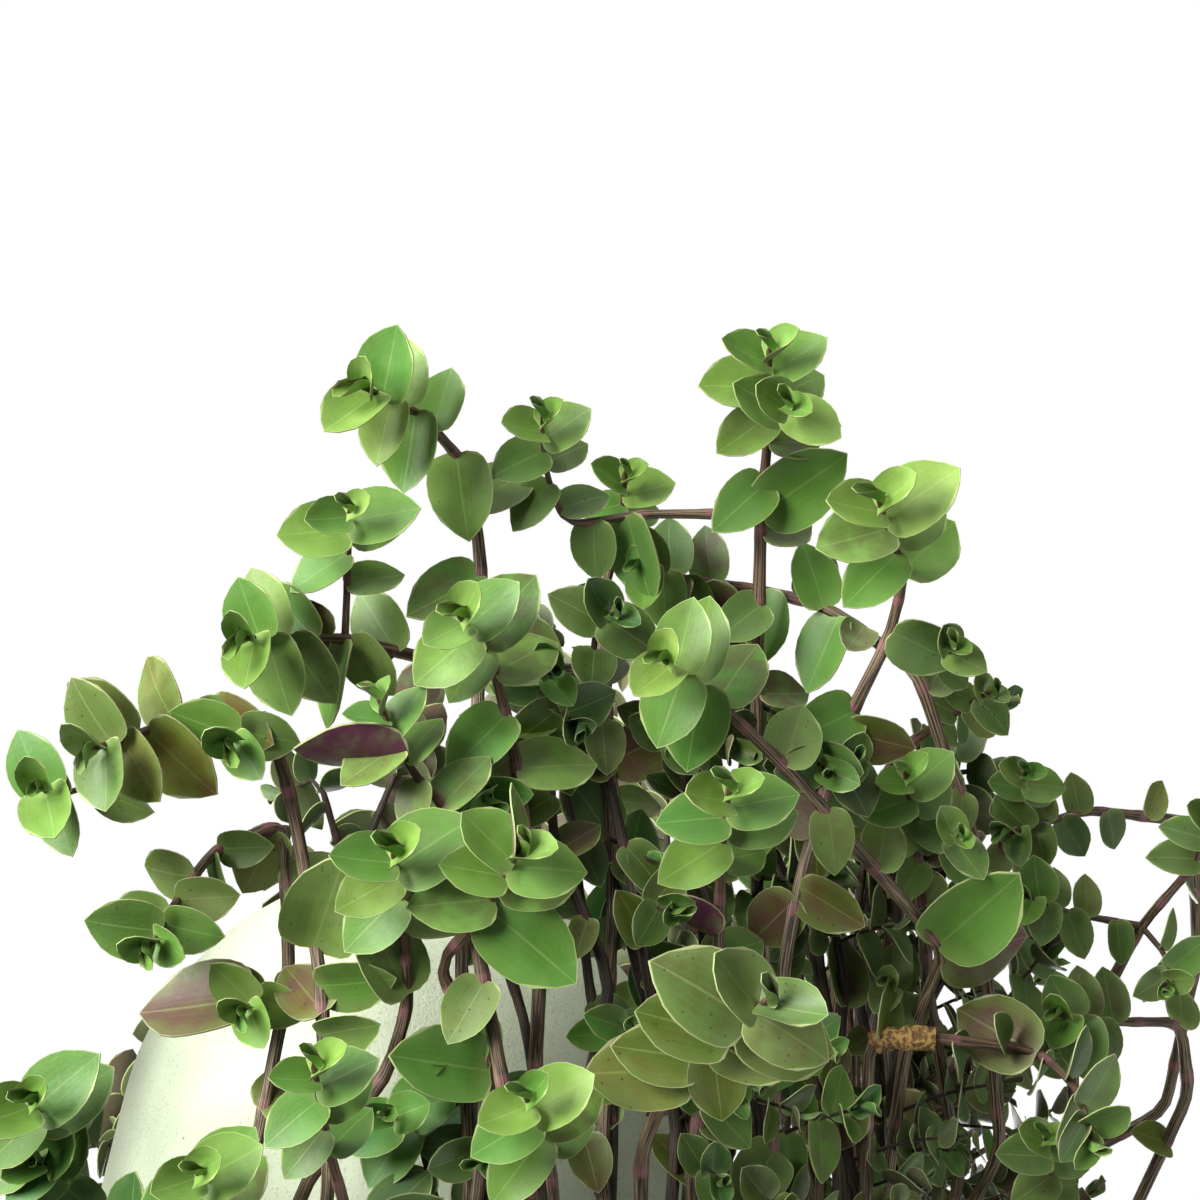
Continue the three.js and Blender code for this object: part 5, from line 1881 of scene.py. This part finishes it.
class TURTLEVINE_OT_vines(bpy.types.Operator):
    """Makes the leafy stems: the front ones, the rest, the tufts and the stems that fill the plant"""

    bl_idname = "turtlevine.vines"
    bl_label = "Leafy stems"

    def execute(self, context):
        foliage = Foliage(context.scene.turtle_vine_plant)
        shoots = [self.front_shoots(number, front) for number, front in enumerate(FRONT_STEMS)]
        chosen = []
        for leaf in CHOSEN_LEAVES:
            routes = [Route(shoot.points) for shoot in shoots[leaf.stem - 1]]
            chosen.append((leaf, foliage.choose(routes, leaf)))
        for number, stem in enumerate(shoots):
            self.front(foliage, number, stem, [pair for pair in chosen if pair[0].stem == number + 1])
        for number, (azimuth, order) in enumerate(REST_STEMS):
            self.rest(foliage, number, azimuth, order)
        for number in range(TUFT_COUNT):
            self.tuft(foliage, number)
        self.fillers(foliage)
        self.far_stems(foliage)
        self.crown(foliage)
        for mesh in foliage.leaves:
            bpy.data.meshes.remove(mesh)
        return {"FINISHED"}

    def finish(self, foliage, name, bm, *nodes):
        to_piece(name, bm, foliage.materials, "foliage", *nodes)

    def front_shoots(self, number, front):
        """A front stem and its side shoots."""
        key = number * STEM_KEYS
        points = over_rim(front.azimuth, number) + turned_forward(front.trail)
        toward = picture_clock(front.trail)
        shoots = [Shoot(points, MAIN_STEM, front.leaf, toward, front.age, key, BARE_ROOT)]
        for order, shoot in enumerate(front.shoots):
            shoots.append(Shoot(turned_forward(shoot.trail), SIDE_STEM, SHOOT_LEAF * front.leaf,
                                picture_clock(shoot.trail), shoot.age, key + order + 1))
        return shoots

    def front(self, foliage, number, shoots, chosen):
        bm = new_vine()
        for shoot in shoots:
            foliage.grow(bm, shoot, must=True)
        for order, (leaf, spot) in enumerate(chosen):
            form = foliage.leaves[OPEN_FORMS[order % len(OPEN_FORMS)]]
            tint = (leaf.age, draw(number, order, 95), leaf.purple)
            add_leaf(bm, form, spot, 0, leaf_width(spot.index), tint)
        if number + 1 == SHEATH_STEM:
            self.sheath(bm, Route(shoots[0].points))
        self.finish(foliage, f"leafy_stem_front_{number + 1:02d}", bm, f"vine_front_{number + 1:02d}")

    def sheath(self, bm, route):
        """A corky sleeve round the stem, thicker and rough at its ends."""
        start, end = (nearest_on_sight_line([route], point)[1] for point in SHEATH_ENDS)
        stations = []
        for number in range(SHEATH_STEPS + 1):
            distance = start + (end - start) * number / SHEATH_STEPS
            flare = SHEATH_FLARE * abs(2 * number / SHEATH_STEPS - 1)
            stations.append((distance, SHEATH_RADIUS * (1 + SHEATH_SWAY * sway(number, 96) + flare)))
        sleeve = new_vine()
        add_tube(sleeve, route, stations, SHEATH_SIDES)
        for vert in sleeve.verts:
            vert.co += UP * (0.5 * noise.noise(vert.co * 0.9))
        finish_tube(sleeve, CORK)
        take_in(bm, sleeve)

    def rest(self, foliage, number, azimuth, order):
        bm = new_vine()
        trail = hanging_trail(azimuth, order)
        leaf = REST_LEAF.drawn(order, 80)
        age = REST_AGE.drawn(order, 81)
        key = order * STEM_KEYS
        points = over_rim(azimuth, number) + trail
        foliage.grow(bm, drawn_shoot(points, MAIN_STEM, leaf, azimuth, age, key, BARE_ROOT), must=True)
        if azimuth > LEFT_FROM:
            for at, side in enumerate((-1, 1)):
                points = spray(azimuth, order, side, trail[at])
                side_shoot = drawn_shoot(points, SIDE_STEM, SHOOT_LEAF * leaf, azimuth, age, key + at + 1)
                foliage.grow(bm, side_shoot, must=True)
        self.finish(foliage, f"leafy_stem_rest_{number + 1:02d}", bm, f"vine_rest_{number + 1:02d}")

    def tuft(self, foliage, number):
        bm = new_vine()
        order = TUFT_ORDER + number
        key = order * STEM_KEYS
        azimuth = tuft_azimuth(number)
        age = TUFT_AGE.drawn(order, 81)
        stem, shoots = tuft_points(number)
        foliage.grow(bm, drawn_shoot(stem, MAIN_STEM, TUFT_LEAF, azimuth, age, key, BARE_ROOT), must=True)
        for side, points in enumerate(shoots):
            leaf = SHOOT_LEAF * TUFT_LEAF
            foliage.grow(bm, drawn_shoot(points, SIDE_STEM, leaf, azimuth, age, key + side + 1), must=True)
        self.finish(foliage, f"leafy_tuft_{number + 1}", bm, f"tuft_{number + 1}")

    def fillers(self, foliage):
        """Stems all round the rim, behind the others, a dozen in a piece."""
        bm = new_vine()
        for number in range(FILLER_COUNT):
            order = FILLER_ORDER + number
            place = number + FILLER_SCATTER * draw(order, 82)
            azimuth = 360 * place / FILLER_COUNT + FIRST_FILLER_AZIMUTH
            if in_arc(azimuth, FEW_ARC) and number % FEW:
                continue
            start = over_rim(azimuth, number, FILLER_RISE * draw(order, 6), FILLER_TURN * sway(order, 7))
            points = start + filler_trail(azimuth, order)
            radius = FILLER_STEM.drawn(order, 84)
            leaf = FILLER_LEAF.drawn(order, 80)
            age = FILLER_AGE.drawn(order, 81)
            key = order * STEM_KEYS
            stem = drawn_shoot(points, radius, leaf, azimuth, age, key, BARE_ROOT, FILLER_PAINTED_SHADE)
            foliage.grow(bm, stem, THIN_SIDES, INNER_RINGS)
            for side in (1, 2):
                self.twig(foliage, bm, Route(points), azimuth, key + side, age, leaf, TWIG_PAINTED_SHADE * FILLER_PAINTED_SHADE)
            if number % FILLERS_A_PIECE == FILLERS_A_PIECE - 1:
                self.finish(foliage, f"inner_stems_{number // FILLERS_A_PIECE + 1}", bm)
                bm = new_vine()
        bm.free()

    def far_stems(self, foliage):
        """Thin stems with small leaves that reach far out at the left end of the plant."""
        bm = new_vine()
        for number in range(FAR_COUNT):
            order = FAR_ORDER + number
            azimuth = FAR_FROM - FAR_OVER * (number + draw(order, 1)) / FAR_COUNT
            points = over_rim(azimuth, number) + far_trail(azimuth, order)
            leaf = FAR_LEAF.drawn(order, 13)
            age = FAR_AGE.drawn(order, 12)
            key = order * STEM_KEYS
            stem = drawn_shoot(points, FAR_STEM, leaf, azimuth, age, key, BARE_ROOT)
            foliage.grow(bm, stem, THIN_SIDES, THIN_RINGS)
            for side in (1, 2, 3):
                self.twig(foliage, bm, Route(points), azimuth, key + side, age, FAR_SHOOT_LEAF, FAR_PAINTED_SHADE)
        self.finish(foliage, "spray_stems", bm)

    def twig(self, foliage, bm, route, azimuth, key, age, leaf, painted_shade):
        points = twig_points(route, azimuth, key)
        shoot = drawn_shoot(points, TWIG_STEM, leaf * TWIG_LEAF, azimuth, age, key, painted_shade=painted_shade)
        foliage.grow(bm, shoot, THIN_SIDES, THIN_RINGS)

    def crown(self, foliage):
        """Short stems that cover the top of the soil and lean over the rim."""
        bm = new_vine()
        for number in range(CROWN_COUNT):
            order = CROWN_ORDER + number
            azimuth = CROWN_TURN * number
            points = crown_points(number, order, azimuth)
            age = CROWN_AGE.drawn(order, 81)
            stem = drawn_shoot(points, CROWN_STEM, CROWN_LEAF, azimuth, age, order * STEM_KEYS, CROWN_BARE)
            foliage.grow(bm, stem, THIN_SIDES, THIN_RINGS)
        self.finish(foliage, "crown_stems", bm)


class TURTLEVINE_PT_panel(bpy.types.Panel):
    """Lists the pieces of the turtle vine with their settings"""

    bl_idname = "TURTLEVINE_PT_panel"
    bl_label = "Turtle vine"
    bl_space_type = "VIEW_3D"
    bl_region_type = "UI"
    bl_category = "Turtle vine"

    def draw(self, context):
        for operator in OPERATORS:
            self.layout.operator(operator.bl_idname)
        for name, group in SETTINGS.items():
            box = self.layout.box()
            box.label(text=group.__doc__)
            for key in group.__annotations__:
                box.prop(getattr(context.scene, name), key)


OPERATORS = [
    TURTLEVINE_OT_stage,
    TURTLEVINE_OT_pot,
    TURTLEVINE_OT_soil,
    TURTLEVINE_OT_hanger,
    TURTLEVINE_OT_vines,
]


def register():
    for name, group in SETTINGS.items():
        bpy.utils.register_class(group)
        setattr(bpy.types.Scene, name, bpy.props.PointerProperty(type=group))
    for each in [*OPERATORS, TURTLEVINE_PT_panel]:
        bpy.utils.register_class(each)


def unregister():
    for each in reversed([*OPERATORS, TURTLEVINE_PT_panel]):
        bpy.utils.unregister_class(each)
    for name, group in SETTINGS.items():
        delattr(bpy.types.Scene, name)
        bpy.utils.unregister_class(group)


def clear_scene():
    """Removes what a new scene starts with, and keeps the frame's own objects."""
    for each in list(bpy.context.scene.objects):
        if "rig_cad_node" not in each and not each.name.startswith("body:"):
            bpy.data.objects.remove(each)


def main():
    register()
    clear_scene()
    bpy.ops.turtlevine.stage()
    bpy.ops.turtlevine.pot()
    bpy.ops.turtlevine.soil()
    bpy.ops.turtlevine.hanger()
    bpy.ops.turtlevine.vines()


if __name__ == "__main__":
    main()
